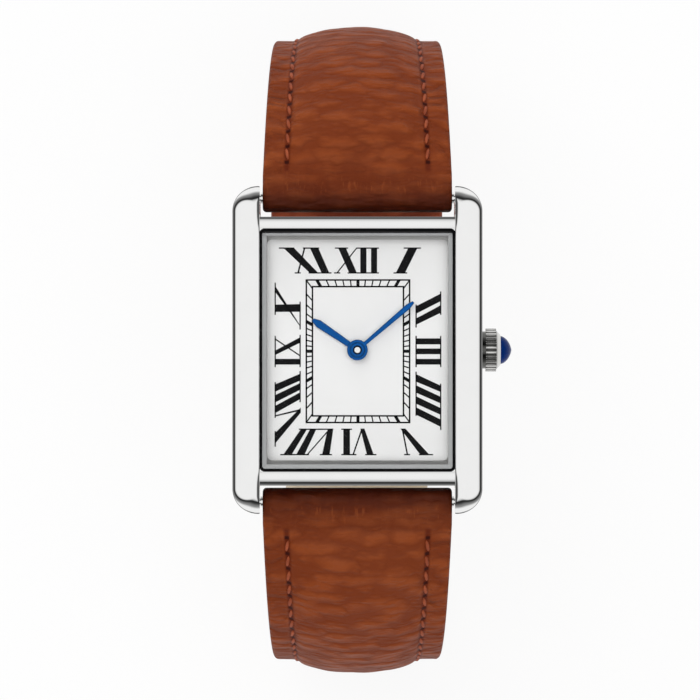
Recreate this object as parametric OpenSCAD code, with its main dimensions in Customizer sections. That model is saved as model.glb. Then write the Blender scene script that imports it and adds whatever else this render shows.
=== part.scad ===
/* [Case] */
// Width of a side rail
rail_w = 2.78; // [2.6:0.02:3.4]
// Length of a rail past the spring bar's axis
lug_reach = 1.15; // [1:0.05:1.6]
// Gap between the rails where the strap sits
lug_gap = 19.94; // [19.6:0.02:20.4]
// Height of the rails' top face over the back
rail_top = 6.25; // [6.2:0.05:7.2]
// Width of a crossbar
crossbar_w = 1.4; // [1.2:0.05:1.8]
// Gap between a crossbar and the strap's folded end
crossbar_gap = 0.55; // [0.3:0.05:1]
// Height of the crossbars over the back
crossbar_top = 6.0; // [5.8:0.05:6.15]
// Radius that rounds the outer corner of a rail, seen from the front
rail_corner_r = 2.6; // [2:0.1:2.7]
// Radius that rounds the top of a rail's end, seen from the side
rail_end_r = 1.5; // [0.8:0.1:2]
// Radius that rounds the underside of a rail's end
rail_under_r = 2.1; // [1:0.1:2.2]
// Radius along the outer top edge of a rail
rail_edge_r = 0.55; // [0.2:0.05:0.6]
// Radius along the outer top edge of a crossbar
crossbar_edge_r = 0.3; // [0.2:0.05:0.6]

/* [Crystal and dial] */
// Width of the crystal
crystal_w = 19.4; // [19:0.1:19.5]
// Length of the crystal
crystal_l = 24.2; // [23.6:0.1:24.4]
// Thickness of the crystal
crystal_t = 1.3; // [1:0.05:2]
// Width of the crystal's bevelled edge
bevel_w = 0.45; // [0.2:0.05:0.8]
// Drop of the crystal's bevelled edge
bevel_h = 0.35; // [0.1:0.05:0.6]
// Width of the gasket's black line
gasket_w = 0.3; // [0.2:0.02:0.4]
// Width of the window in the ledge under the crystal
window_w = 18.5; // [17.5:0.1:18.8]
// Length of the window in the ledge under the crystal
window_l = 22.6; // [21.5:0.1:23]
// Thickness of the dial
dial_t = 0.4; // [0.3:0.05:0.45]
// Length of the hour hand from its axis
hour_hand_l = 5.5; // [4:0.1:6]
// Length of the minute hand from its axis
minute_hand_l = 7.55; // [6:0.1:8.5]
// Thickness of each hand
hand_t = 0.16; // [0.1:0.02:0.2]
// Minutes past the hour that the hands show
shown_minutes = 8.25; // [0:0.25:59.75]
// Hour that the hour hand points after
shown_hour = 10; // [0:1:11]

/* [Crown] */
// Radius of the crown over its flutes
crown_r = 2.2; // [1.9:0.05:2.3]
// Length of the crown's fluted part
crown_l = 1.08; // [1:0.02:1.6]
// Number of flutes round the crown
flutes = 26; // [18:1:32]
// Radius of one flute's groove
flute_r = 0.17; // [0.1:0.01:0.2]
// Radius of the cabochon at its setting
cabochon_r = 1.45; // [1:0.05:1.5]
// Height of the cabochon's pointed dome
cabochon_h = 1.15; // [0.6:0.05:1.6]
// Travel of the crown when it is pulled to set the time
pull = 0.8; // [0.4:0.05:0.9]
// Radius of the winding stem
stem_r = 0.45; // [0.4:0.01:0.48]

/* [Strap] */
// Gap on each side between the strap and its rail
lug_play = 0.17; // [0.1:0.01:0.5]
// Width of the strap at the buckle
strap_end_w = 16; // [14.6:0.1:16.4]
// Thickness of the top leather along the strap's flat borders
leather_t = 1.2; // [0.9:0.05:1.25]
// Thickness of the strap's lining
lining_t = 1.0; // [0.6:0.05:1.1]
// Height of the padded middle over the borders
pad_h = 1.3; // [0.4:0.1:2]
// Width of each flat border outside the padding
border_w = 2.3; // [1.6:0.1:3]
// Radius of the folded end round a spring bar
lug_fold_r = 1.45; // [1.3:0.05:1.6]
// Downward slope of the strap where it leaves the case
lug_slope = 20; // [15:1:25]
// Radius of the bend over the side of the wrist
side_bend_r = 22; // [20:0.5:23]
// Straight run down the side of the wrist, buckle half
side_run = 10; // [8:0.5:14]
// Radius of the bend under the wrist
under_bend_r = 11; // [10:0.5:12]
// Flat run of the long half under the wrist
long_run = 5; // [4:0.5:5]
// Radius of the inward curl of the long half
curl_r = 9; // [8:0.5:9]
// Straight run of the long half's tail, without its rounded tip
tail_run = 21; // [18:0.5:22]
// Length of the rounded tip
tip_l = 7; // [5:0.5:8]
// Number of tongue holes
tongue_holes = 7; // [3:1:7]
// Distance between tongue holes
hole_pitch = 4.5; // [4:0.1:4.8]
// Radius of a tongue hole
hole_r = 0.9; // [0.8:0.05:1.1]

/* [Keepers and buckle] */
// Thickness of a keeper's band
keeper_t = 0.9; // [0.7:0.05:1.1]
// Width of the fixed keeper along the strap
fixed_keeper_w = 3; // [2.4:0.1:3]
// Width of the free keeper along the strap
free_keeper_w = 3.6; // [3:0.1:3.6]
// Travel of the free keeper along the straight of the strap
keeper_travel = 3; // [1:0.1:3]
// Length of the buckle from its bar to the outside of its front
buckle_l = 9.4; // [9:0.1:10]
// Width of the metal in the buckle frame
buckle_band = 1.5; // [1.2:0.1:1.9]
// Thickness of the buckle frame
buckle_t = 1.7; // [1.4:0.1:1.8]
// Radius of the buckle's bar
buckle_bar_r = 0.6; // [0.5:0.05:0.65]
// Width of the buckle's tongue
tongue_w = 1.3; // [1:0.1:1.6]

/* [Movement] */
// Width of the main plate
plate_w = 16.6; // [16:0.1:16.8]
// Length of the main plate
plate_l = 20.2; // [20:0.1:20.6]
// Thickness of the main plate
plate_t = 1.41; // [1.35:0.01:1.42]
// Radius of the battery
battery_r = 3.4; // [3.2:0.05:3.4]
// Thickness of the battery
battery_t = 2.1; // [1.6:0.05:2.1]
// Thickness of a train wheel
wheel_t = 0.2; // [0.15:0.01:0.2]
// Tooth module of the wheel train
train_module = 0.1; // [0.096:0.001:0.101]
// Length of the coil winding
coil_l = 8; // [6:0.5:8]
// Radius of the coil winding
coil_r = 0.8; // [0.6:0.05:0.8]
// Radius of a spring bar
spring_bar_r = 0.8; // [0.6:0.05:0.9]

/* [Hidden] */
$fn = 64;

// Gap that keeps turning pieces free, and the finer one for pivots
run_gap = 0.05;
pivot_gap = 0.03;
// Small overlap of a cutter past the face that it opens
cut = 0.1;

// Heights in the case, from the back's flat outer face
back_t = 0.8;
back_lip = 0.4;
lip_top = back_t + back_lip;
stem_z = 2.6;
plate_top = 3.66;
plate_bottom = plate_top - plate_t;
dial_z = plate_top + 0.04;
dial_top = dial_z + dial_t;
ledge_bottom = dial_top + 0.02;
ledge_top = 5.3;
hour_hand_z = dial_top + 0.35;
minute_hand_z = hour_hand_z + hand_t + 0.26;
crystal_top = ledge_top + crystal_t;

// The cavity that holds the movement
seat_w = crystal_w + 2 * gasket_w;
seat_l = crystal_l + 2 * gasket_w;
seat_corner_r = 0.5;
cavity_w = seat_w;
cavity_l = seat_l - 0.4;
cavity_corner_r = 0.6;

// The case outside, and the strap's width at its lugs
case_w = lug_gap + 2 * rail_w;
body_l = cavity_l + 2 * crossbar_w;
strap_w = lug_gap - 2 * lug_play;

// Spring bars
bar_y = body_l / 2 + crossbar_gap + lug_fold_r;
rail_l = 2 * (bar_y + lug_reach);
bar_z = 2.5;
bar_tip_r = 0.4;
rail_inner_r = 0.15;
crossbar_crown_r = 3;
bar_tip_l = 0.9;
bar_hole_r = bar_tip_r + 0.02;

// Back screws
back_screw_x = cavity_w / 2 + 0.95;
back_rim = 1.2;
back_screw_y = cavity_l / 2 - 2.8;
back_screw_r = 0.45;
back_screw_head_r = 0.75;

// Crown, along its axis from the case's side
crown_x = case_w / 2 + 0.05;
collar_l = 0.36;
collar_r = crown_r - 0.28;
flute_x = crown_x + collar_l;
shoulder_x = flute_x + crown_l;
shoulder_l = 0.45;
shoulder_r = cabochon_r + 0.12;
setting_x = shoulder_x + shoulder_l;
tube_r = 0.9;
crown_bore_r = 1.25;
crown_bore_l = 1.0;

// Train axes on the plan, in the plane of the dial
centre_teeth = 40;
third_leaves = 8;
third_teeth = 48;
intermediate_leaves = 12;
intermediate_teeth = 36;
rotor_leaves = 12;
cannon_leaves = 12;
minute_teeth = 36;
minute_leaves = 10;
hour_teeth = 40;
setting_teeth = 16;
third_dir = 150;
intermediate_dir = 80;
rotor_dir = 60;
minute_dir = -40;
setting_dir = 20;
function away(from, dir, dist) = [from[0] + dist * cos(dir), from[1] + dist * sin(dir)];
function pair_distance(t1, t2, m) = m * (t1 + t2) / 2;
third_at = away([0, 0], third_dir, pair_distance(centre_teeth, third_leaves, train_module));
intermediate_at = away(third_at, intermediate_dir,
    pair_distance(third_teeth, intermediate_leaves, train_module));
rotor_at = away(intermediate_at, rotor_dir,
    pair_distance(intermediate_teeth, rotor_leaves, train_module));
motion_distance = pair_distance(cannon_leaves, minute_teeth, train_module);
hour_module = 2 * motion_distance / (minute_leaves + hour_teeth);
minute_at = away([0, 0], minute_dir, motion_distance);
setting_at = away(minute_at, setting_dir,
    pair_distance(minute_teeth, setting_teeth, train_module));
// Turn of a wheel with t2 teeth that meshes at direction dir with one of t1 teeth turned by a1
function mesh_turn(dir, t1, a1, t2) = dir + 180 - 360 / t2 * (0.5 - (dir - a1) * t1 / 360);
third_turn = mesh_turn(third_dir, centre_teeth, 0, third_leaves);
intermediate_turn = mesh_turn(intermediate_dir, third_teeth, third_turn, intermediate_leaves);
rotor_turn = mesh_turn(rotor_dir, intermediate_teeth, intermediate_turn, rotor_leaves);
minute_turn = mesh_turn(minute_dir, cannon_leaves, 0, minute_teeth);
hour_turn = mesh_turn(minute_dir + 180, minute_leaves, minute_turn, hour_teeth);
setting_turn = mesh_turn(setting_dir, minute_teeth, minute_turn, setting_teeth);

// Feet of the dial, in the corners of the main plate
dial_foot_at = [plate_w / 2 - 1.1, plate_l / 2 - 1];
dial_foot_r = 0.25;

// Levels of the train
bridge_z = lip_top + 0.05;
bridge_t = 0.3;
low_wheel_z = bridge_z + bridge_t + 0.07;
high_wheel_z = low_wheel_z + 0.26;
arbor_r = 0.1;
arbor_top = plate_bottom + 0.3;
centre_arbor_r = 0.2;
cannon_r = 0.3;
hour_pipe_r = 0.52;
motion_floor = 3.0;
motion_z = motion_floor + 0.05;
hour_wheel_z = motion_z + wheel_t + 0.1;
cannon_top = minute_hand_z + hand_t + 0.06;
pillars = [[-4.9, 4.5], [1.5, 3.5], [-5.0, -1.2]];
pillar_r = 0.4;
screw_r = 0.2;
screw_head_r = 0.36;
clip_screw_at = [0.1, -4.2];

// Battery, circuit and motor
battery_at = [-4.4, -5.9];
battery_z = plate_top - 0.11 - battery_t;
clip_t = 0.12;
clip_z = bridge_z + 0.05;
board_t = 0.2;
board_z = plate_bottom - 0.03 - board_t;
can_r = 0.6;
can_l = 4.3;
can_at = [1.4, 0.85 - plate_l / 2, 1.95];
coil_y = plate_l / 2 - 1.5;
core_t = 0.45;
core_w = 0.9;
core_l = coil_l + 1.6;
core_z = low_wheel_z + wheel_t;
coil_axis_z = core_z + core_t / 2;
stator_t = 0.2;
magnet_r = 0.8;
magnet_gap = 0.2;
stator_half = magnet_r + magnet_gap + 0.27;

// Stem, keyless work
clutch_x = 5.9;
clutch_l = 0.6;
clutch_r = 0.68;
square_w = 0.5;
square_gap = 0.03;
square_x = clutch_x - pull - 0.15;
square_end = clutch_x + clutch_l + 0.1;
pilot_x = square_x - pull - 0.15;
pilot_r = 0.2;
groove_x = square_end + 0.2;
groove_w = 0.5;
groove_r = 0.25;
lever_arm = 3.8;
lever_x = groove_x + groove_w / 2;
lever_z = 1.72;
lever_t = 0.2;
lever_pin_r = 0.14;
lever_post_r = 0.26;

// Hands, as turns clockwise from 12 o'clock
minute_angle = shown_minutes * 6;
hour_angle = shown_hour * 30 + shown_minutes / 2;
minute_hub_r = 1.06;
hour_hub_r = 0.95;

// Strap paths: each stretch has a length, a turn in degrees and a number of rings
fold_l = 2.2;
half_w_fall = (strap_w - strap_end_w) / 2;
taper_l = 50;
// Room that the keepers leave for the long half's tail
tail_room = leather_t + lining_t + 0.2;
long_drop = keeper_t + tail_room;
// Flat run of the buckle half under the wrist, which holds both keepers
keeper_gap = 0.3;
buckle_run = fold_l + keeper_gap / 2 + fixed_keeper_w + keeper_gap + free_keeper_w + keeper_travel + 0.65;
bend_turn = lug_slope - 90;
side_bend_l = side_bend_r * (90 - lug_slope) * PI / 180;
buckle_side = [
    [fold_l, 0, 1],
    [side_bend_l, bend_turn, 16],
    [side_run, 0, 1],
    [under_bend_r * PI / 2, -90, 8],
    [buckle_run - fold_l, 0, 1]
];
long_side = [
    [fold_l, 0, 1],
    [side_bend_l, bend_turn, 16],
    [side_run + long_drop, 0, 1],
    [under_bend_r * PI / 2, -90, 8],
    [long_run, 0, 1],
    [curl_r * PI / 2, -90, 8],
    [tail_run, 0, 1]
];

// Position at a share of one stretch
function stretch_point(p, a, g, share) =
    let (bend = g[1] * PI / 180 / g[0], b = a + g[1] * share)
    g[1] == 0
        ? [p[0] + g[0] * share * cos(a), p[1] + g[0] * share * sin(a)]
        : [p[0] + (sin(b) - sin(a)) / bend, p[1] - (cos(b) - cos(a)) / bend];
// Stations [point, heading, length run] from stretch k on
function stations(path, k, p, a, s) =
    k == len(path)
        ? [[p, a, s]]
        : let (g = path[k])
        concat(
            [for (i = [0:g[2] - 1])
                let (t = i / g[2])
                [stretch_point(p, a, g, t), a + g[1] * t, s + g[0] * t]],
            stations(path, k + 1, stretch_point(p, a, g, 1), a + g[1], s + g[0]));
// The station at one length along a path
function station_at(path, k, p, a, s) =
    s <= path[k][0] || k == len(path) - 1
        ? [stretch_point(p, a, path[k], s / path[k][0]), a + path[k][1] * s / path[k][0]]
        : station_at(path, k + 1, stretch_point(p, a, path[k], 1), a + path[k][1], s - path[k][0]);
strap_start = [bar_y, bar_z];
buckle_stations = stations(buckle_side, 0, strap_start, -lug_slope, 0);
long_stations = stations(long_side, 0, strap_start, -lug_slope, 0);
buckle_end = buckle_stations[len(buckle_stations) - 1];
buckle_at = [buckle_end[0][0] - fold_l, buckle_end[0][1]];
long_end = long_stations[len(long_stations) - 1];
long_l = long_end[2];
tip_stations = [for (i = [1:6]) let (share = sin(i * 15))
    [[long_end[0][0] + tip_l * share * cos(long_end[1]), long_end[0][1] + tip_l * share * sin(long_end[1])],
        long_end[1], long_l + tip_l * share]];

// Half width of the strap at a length from the spring bar
function half_width(s) =
    let (tip = (s - long_l) / tip_l, w = strap_w / 2 - half_w_fall * min(s, taper_l) / taper_l)
    tip <= 0 ? w : w * sqrt(max(0.06, 1 - tip * tip));
// Height of the padding at that length, where it grows from the lug and fades at fade
function ease(t) = let (u = max(0, min(1, t))) u * u * (3 - 2 * u);
function padding(s, fade) = pad_h * ease((s - fold_l + 1) / 7) * (1 - ease((s - fade) / 12));
// Outline of the top leather across the strap, x then height over the seam with the lining
pad_points = 12;
function leather_outline(s, fade) =
    let (w = half_width(s), b = min(border_w, w * 0.4), e = 0.3, h = padding(s, fade))
    concat(
        [[0, 0], [w, 0], [w, leather_t - e], [w - e, leather_t]],
        [for (i = [0:pad_points]) let (u = cos(180 * i / pad_points))
            [(w - b) * u, leather_t + h * pow(max(0, 1 - u * u), 0.7)]],
        [[e - w, leather_t], [-w, leather_t - e], [-w, 0]]);
function lining_outline(s) =
    let (w = half_width(s), e = 0.25)
    [[0, 0], [-w, 0], [-w, e - lining_t], [e - w, -lining_t], [w - e, -lining_t], [w, e - lining_t], [w, 0]];
function placed(st, q) =
    [q[0], st[0][0] - sin(st[1]) * q[1], st[0][1] + cos(st[1]) * q[1]];
// A closed solid through outlines that have the same number of points
module sweep(rings) {
    n = len(rings[0]);
    last = len(rings) - 1;
    sides = [for (r = [0:last - 1], i = [0:n - 1]) let (j = (i + 1) % n)
        each [[r * n + i, (r + 1) * n + i, r * n + j], [r * n + j, (r + 1) * n + i, (r + 1) * n + j]]];
    ends = [for (i = [1:n - 2]) each [[0, i, i + 1], [last * n, last * n + i + 1, last * n + i]]];
    polyhedron([for (ring = rings) each ring], concat(sides, ends));
}
module strap_leather(track, fade) {
    sweep([for (st = track) [for (q = leather_outline(st[2], fade)) placed(st, q)]]);
}
module strap_lining(track) {
    sweep([for (st = track) [for (q = lining_outline(st[2])) placed(st, q)]]);
}
// The stations of a track without its first, which lies in the folded end
function past_fold(track) = [for (i = [1:len(track) - 1]) track[i]];
module tongue_hole_cutters() {
    for (k = [0:tongue_holes - 1]) {
        st = station_at(long_side, 0, strap_start, -lug_slope, long_l + tip_l - 9 - k * hole_pitch);
        translate([0, st[0][0], st[0][1]]) rotate([st[1], 0, 0])
            cylinder(h = 4 * leather_t, r = hole_r, center = true);
    }
}

// Flat outlines with rounded corners, and solids across the case
module round_rect(w, l, r) {
    square([w - 2 * r, l], center = true);
    square([w, l - 2 * r], center = true);
    for (x = [-1, 1], y = [-1, 1]) translate([x * (w / 2 - r), y * (l / 2 - r)]) circle(r);
}
module slab(w, l, r, z0, z1) {
    translate([0, 0, z0]) linear_extrude(z1 - z0) round_rect(w, l, r);
}
module frame_ring(w, l, r, wall, z0, z1) {
    difference() {
        slab(w, l, r, z0, z1);
        slab(w - 2 * wall, l - 2 * wall, max(0.05, r - wall), z0 - cut, z1 + cut);
    }
}
// Extrudes a y-z outline along x, centred
module across(w) {
    rotate([90, 0, 90]) translate([0, 0, -w / 2]) linear_extrude(w) children();
}
// Extrudes an x-z outline along y, centred
module along(l) {
    rotate([90, 0, 0]) translate([0, 0, -l / 2]) linear_extrude(l) children();
}
module post(at, r, z0, z1) {
    translate([at[0], at[1], z0]) cylinder(h = z1 - z0, r = r);
}
module rod_x(r, x0, x1, z) {
    translate([x0, 0, z]) rotate([0, 90, 0]) cylinder(h = x1 - x0, r = r);
}

// Case
module rail_side_outline() {
    half = rail_l / 2;
    for (side = [-1, 1]) {
        translate([side * (half - rail_end_r), rail_top - rail_end_r]) circle(rail_end_r);
        translate([side * (half - rail_under_r), back_t + rail_under_r]) circle(rail_under_r);
    }
    translate([rail_under_r - half, back_t])
        square([rail_l - 2 * rail_under_r, rail_top - back_t - rail_end_r]);
    translate([rail_end_r - half, back_t + rail_under_r])
        square([rail_l - 2 * rail_end_r, rail_top - back_t - rail_under_r]);
    translate([-half, back_t + rail_under_r])
        square([rail_l, rail_top - back_t - rail_under_r - rail_end_r]);
}
module rail_plan() {
    straight = rail_l - 2 * rail_corner_r;
    translate([0, -straight / 2]) square([rail_w, straight]);
    intersection() {
        translate([0, -rail_l / 2]) square([rail_w, rail_l]);
        for (side = [-1, 1])
            translate([rail_w - rail_corner_r, side * straight / 2]) circle(rail_corner_r);
    }
}
module rail_front_outline() {
    translate([0, back_t]) square([rail_w, rail_top - back_t - rail_edge_r]);
    translate([0, back_t]) square([rail_inner_r, rail_top - back_t - rail_inner_r]);
    translate([rail_inner_r, back_t])
        square([rail_w - rail_edge_r - rail_inner_r, rail_top - back_t]);
    translate([rail_inner_r, rail_top - rail_inner_r]) circle(rail_inner_r);
    translate([rail_w - rail_edge_r, rail_top - rail_edge_r]) circle(rail_edge_r);
}
module rail() {
    intersection() {
        translate([lug_gap / 2, 0, 0]) linear_extrude(rail_top + 1) rail_plan();
        across(case_w + 2) rail_side_outline();
        translate([lug_gap / 2, 0, 0]) along(rail_l + 2) rail_front_outline();
    }
}
// The body from the side, with a low crown on both crossbars
module crossbar_outline() {
    flat = body_l - 2 * crossbar_edge_r;
    bar_mid = (body_l - crossbar_w) / 2;
    intersection() {
        union() {
            translate([-body_l / 2, back_t]) square([body_l, crossbar_top - back_t - crossbar_edge_r]);
            translate([-flat / 2, back_t]) square([flat, crossbar_top - back_t]);
            for (side = [-1, 1])
                translate([side * flat / 2, crossbar_top - crossbar_edge_r]) circle(crossbar_edge_r);
        }
        union() {
            translate([-body_l / 2, back_t]) square([body_l, ledge_top - back_t]);
            for (side = [-1, 1])
                translate([side * bar_mid, crossbar_top - crossbar_crown_r]) circle(crossbar_crown_r);
        }
    }
}
module case_middle() {
    color("gainsboro") difference() {
        union() {
            across(lug_gap + 1) crossbar_outline();
            rail();
            mirror([1, 0, 0]) rail();
        }
        slab(cavity_w, cavity_l, cavity_corner_r, back_t - cut, ledge_bottom);
        slab(window_w, window_l, seat_corner_r, back_t, ledge_top + cut);
        slab(seat_w, seat_l, seat_corner_r, ledge_top, rail_top + 1);
        for (side = [-1, 1]) translate([0, side * bar_y, 0]) {
            rod_x(bar_hole_r, lug_gap / 2 - cut, lug_gap / 2 + bar_tip_l + 0.1, bar_z);
            rod_x(bar_hole_r, -lug_gap / 2 - bar_tip_l - 0.1, cut - lug_gap / 2, bar_z);
        }
        rod_x(tube_r, cavity_w / 2 - cut, case_w / 2 + 1, stem_z);
        for (x = [-1, 1], y = [-1, 1])
            post([x * back_screw_x, y * back_screw_y], back_screw_r, back_t - cut, 2.6);
    }
}
module crystal() {
    color("lightcyan", 0.4) intersection() {
        slab(crystal_w, crystal_l, 0.3, ledge_top, crystal_top);
        across(crystal_w + 2) bevel_outline(crystal_l);
        along(crystal_l + 2) bevel_outline(crystal_w);
    }
}
module bevel_outline(w) {
    polygon([[-w / 2, ledge_top], [w / 2, ledge_top], [w / 2, crystal_top - bevel_h],
        [w / 2 - bevel_w, crystal_top], [bevel_w - w / 2, crystal_top], [-w / 2, crystal_top - bevel_h]]);
}
module crystal_gasket() {
    color("black") frame_ring(seat_w, seat_l, seat_corner_r, gasket_w, ledge_top, crossbar_top - 0.04);
}
module case_back() {
    color("silver") difference() {
        union() {
            slab(2 * (back_screw_x + back_rim), body_l - 0.6, 1.2, 0, back_t);
            slab(cavity_w - 1, cavity_l - 1, cavity_corner_r, back_t, lip_top);
        }
        for (x = [-1, 1], y = [-1, 1]) {
            post([x * back_screw_x, y * back_screw_y], back_screw_r + 0.03, -cut, back_t + cut);
            post([x * back_screw_x, y * back_screw_y], back_screw_head_r + 0.03, -cut, back_t / 2);
        }
    }
}
module back_gasket() {
    color("black")
        frame_ring(cavity_w - 0.04, cavity_l - 0.04, cavity_corner_r, 0.46, back_t, back_t + 0.32);
}
module back_screws() {
    color("silver") for (x = [-1, 1], y = [-1, 1]) difference() {
        union() {
            post([x * back_screw_x, y * back_screw_y], back_screw_r - 0.01, back_t / 2, 2.5);
            post([x * back_screw_x, y * back_screw_y], back_screw_head_r, 0.05, back_t / 2);
        }
        translate([x * back_screw_x, y * back_screw_y, 0.05])
            cube([2, 0.2, 0.3], center = true);
    }
}
module case_tube() {
    color("silver") difference() {
        rod_x(tube_r, cavity_w / 2 + 0.1, crown_x + crown_bore_l - 0.25, stem_z);
        rod_x(stem_r + run_gap, cavity_w / 2, crown_x + crown_bore_l, stem_z);
    }
}

// Dial and hands
module dial() {
    color("ivory") difference() {
        union() {
            slab(cavity_w - 0.4, cavity_l - 0.4, cavity_corner_r, dial_z, dial_top);
            for (side = [-1, 1]) post(side * dial_foot_at, dial_foot_r, plate_bottom + 0.2, dial_z);
        }
        post([0, 0], hour_pipe_r + 0.12, dial_z - cut, dial_top + cut);
    }
}
// Outline of a baton hand that widens from its hub to a blunt tip
module baton(length, hub_half, tip_half) {
    shoulder = length - 0.7;
    polygon([[-hub_half, 0], [-tip_half, shoulder], [-tip_half * 0.45, length], [tip_half * 0.45, length],
        [tip_half, shoulder], [hub_half, 0]]);
}
// A hand: its hub, its blade and the hole that seats on a pipe
module hand(z, turn, length, hub_r, root_half, tip_half, hole) {
    translate([0, 0, z]) rotate(-turn) difference() {
        union() {
            cylinder(h = hand_t, r = hub_r);
            linear_extrude(hand_t) baton(length, root_half, tip_half);
        }
        translate([0, 0, -cut]) cylinder(h = hand_t + 2 * cut, r = hole);
    }
}
module hour_hand() {
    color("mediumblue")
        hand(hour_hand_z, hour_angle, hour_hand_l, hour_hub_r, 0.26, 0.4, hour_pipe_r);
}
module minute_hand() {
    color("mediumblue")
        hand(minute_hand_z, minute_angle, minute_hand_l, minute_hub_r, 0.17, 0.29, cannon_r);
}

// Movement
tooth_outline = [[-1.2, -0.32], [0, -0.22], [0.9, -0.09], [0.9, 0.09], [0, 0.22], [-1.2, 0.32]];
function gear_points(teeth, m) =
    [for (i = [0:teeth - 1], p = tooth_outline)
        let (r = m * (teeth / 2 + p[0]), a = (i + p[1]) * 360 / teeth) [r * cos(a), r * sin(a)]];
module gear(at, teeth, m, turn, z) {
    translate([at[0], at[1], z]) rotate(turn) linear_extrude(wheel_t) polygon(gear_points(teeth, m));
}
module movement_holder() {
    color("white") difference() {
        slab(cavity_w - 0.2, cavity_l - 0.2, cavity_corner_r, lip_top, plate_top);
        slab(plate_w + 0.1, plate_l + 0.1, 1.5, lip_top - cut, plate_top + cut);
        translate([plate_w / 2, -stem_r - 0.2, lip_top - cut])
            cube([cavity_w / 2, 2 * stem_r + 0.4, stem_z + stem_r + 0.2 - lip_top + cut]);
    }
}
module main_plate() {
    color("goldenrod") union() {
        post([lever_x, -lever_arm], lever_post_r, lever_z - 0.12, plate_bottom + 0.2);
        difference() {
            slab(plate_w, plate_l, 1.5, plate_bottom, plate_top);
            post([0, 0], cannon_r + run_gap, plate_bottom - cut, plate_top);
            for (at = [third_at, intermediate_at, rotor_at])
                post(at, arbor_r + pivot_gap, plate_bottom - cut, arbor_top + 0.05);
            for (at = concat(pillars, [clip_screw_at]))
                post(at, screw_r, plate_bottom - cut, plate_bottom + 0.7);
            post([0, 0], hour_module * hour_teeth / 2 + 0.3, motion_floor, plate_top + cut);
            post(minute_at, train_module * minute_teeth / 2 + 0.3, motion_floor, plate_top + cut);
            post(setting_at, train_module * setting_teeth / 2 + 0.3, motion_floor, plate_top + cut);
            post(battery_at, battery_r + 0.08, plate_bottom - cut, battery_z + battery_t + 0.02);
            translate([can_at[0] - 0.1, can_at[1] - can_r - run_gap, plate_bottom - cut])
                cube([can_l + 0.2, 2 * (can_r + run_gap), can_at[2] + can_r + run_gap - plate_bottom + cut]);
            translate([-core_l / 2 - 0.2, coil_y - coil_r - 0.1, plate_bottom - cut])
                cube([core_l + 0.4, 2 * coil_r + 0.2, coil_axis_z + coil_r + 0.1 - plate_bottom + cut]);
            translate([square_x - 0.1, -clutch_r - 0.1, plate_bottom - cut])
                cube([plate_w / 2, 2 * clutch_r + 0.2, stem_z + stem_r + run_gap - plate_bottom + cut]);
            translate([clutch_x - 0.15, -clutch_r - 0.1, stem_z])
                cube([clutch_l + 0.3, 2 * clutch_r + 0.2, clutch_r + 0.1]);
            rod_x(pilot_r + pivot_gap, pilot_x - 0.1, square_x, stem_z);
            for (side = [-1, 1])
                post(side * dial_foot_at, dial_foot_r + 0.02, plate_bottom - cut, plate_top + cut);
            for (at = [minute_at, setting_at]) post(at, 0.2, plate_bottom + 0.15, motion_floor + cut);
        }
    }
}
module train_bridge() {
    color("goldenrod") difference() {
        union() {
            translate([-1.75, 2.65, 0]) slab(7.6, 9.1, 0.6, bridge_z, bridge_z + bridge_t);
            for (at = pillars) post(at, pillar_r, bridge_z, plate_bottom);
        }
        for (at = [third_at, intermediate_at, rotor_at])
            post(at, arbor_r + pivot_gap, bridge_z - cut, bridge_z + bridge_t + cut);
        for (at = pillars) {
            post(at, screw_r, bridge_z - cut, plate_bottom + cut);
            post(at, screw_head_r + 0.02, bridge_z - cut, bridge_z + 0.12);
        }
    }
}
module movement_screws() {
    color("silver") {
        for (at = pillars) {
            post(at, screw_r, bridge_z + 0.12, plate_bottom + 0.6);
            post(at, screw_head_r, bridge_z, bridge_z + 0.12);
        }
        post(clip_screw_at, screw_r, clip_z + clip_t, plate_bottom + 0.6);
        post(clip_screw_at, screw_head_r, clip_z, clip_z + clip_t);
    }
}
module battery() {
    color("silver") {
        post(battery_at, battery_r - 0.35, battery_z, battery_z + 0.2);
        post(battery_at, battery_r, battery_z + 0.2, battery_z + battery_t);
    }
}
module battery_clip() {
    top = battery_z;
    color("silver") difference() {
        union() {
            translate([battery_at[0] - 2, clip_screw_at[1] - 0.5, top - clip_t])
                cube([clip_screw_at[0] - battery_at[0] + 2, 1, clip_t]);
            translate([battery_at[0] - 2, battery_at[1] - 1.5, top - clip_t]) cube([1, 2.8, clip_t]);
            post(clip_screw_at, 0.6, clip_z, board_z);
        }
        post(clip_screw_at, screw_r, 0, plate_top);
        post(clip_screw_at, screw_head_r + 0.02, 0, clip_z + clip_t);
    }
}
module circuit_board() {
    color("darkgreen") difference() {
        translate([0, 0, board_z]) linear_extrude(board_t) difference() {
            translate([-0.7, -8.4]) square([8.6, 6]);
            translate(battery_at) circle(battery_r + 0.12);
            translate([lever_x - 1.6, -lever_arm - 0.9]) square([3, 4]);
        }
        post(clip_screw_at, screw_r + 0.02, 0, plate_top);
    }
}
module control_chip() {
    color("black") translate([2.2, -7.4, board_z - 0.55]) cube([1.7, 1.7, 0.55]);
}
module quartz_can() {
    color("silver") translate(can_at) rotate([0, 90, 0]) cylinder(h = can_l, r = can_r);
}
module coil_winding() {
    color("peru") difference() {
        translate([-coil_l / 2, coil_y, coil_axis_z]) rotate([0, 90, 0]) cylinder(h = coil_l, r = coil_r);
        translate([0, coil_y, coil_axis_z]) cube([coil_l + 2, core_w, core_t], center = true);
    }
}
module coil_core() {
    color("gray") {
        translate([-core_l / 2, coil_y - core_w / 2, core_z]) cube([core_l, core_w, core_t]);
    }
}
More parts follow.
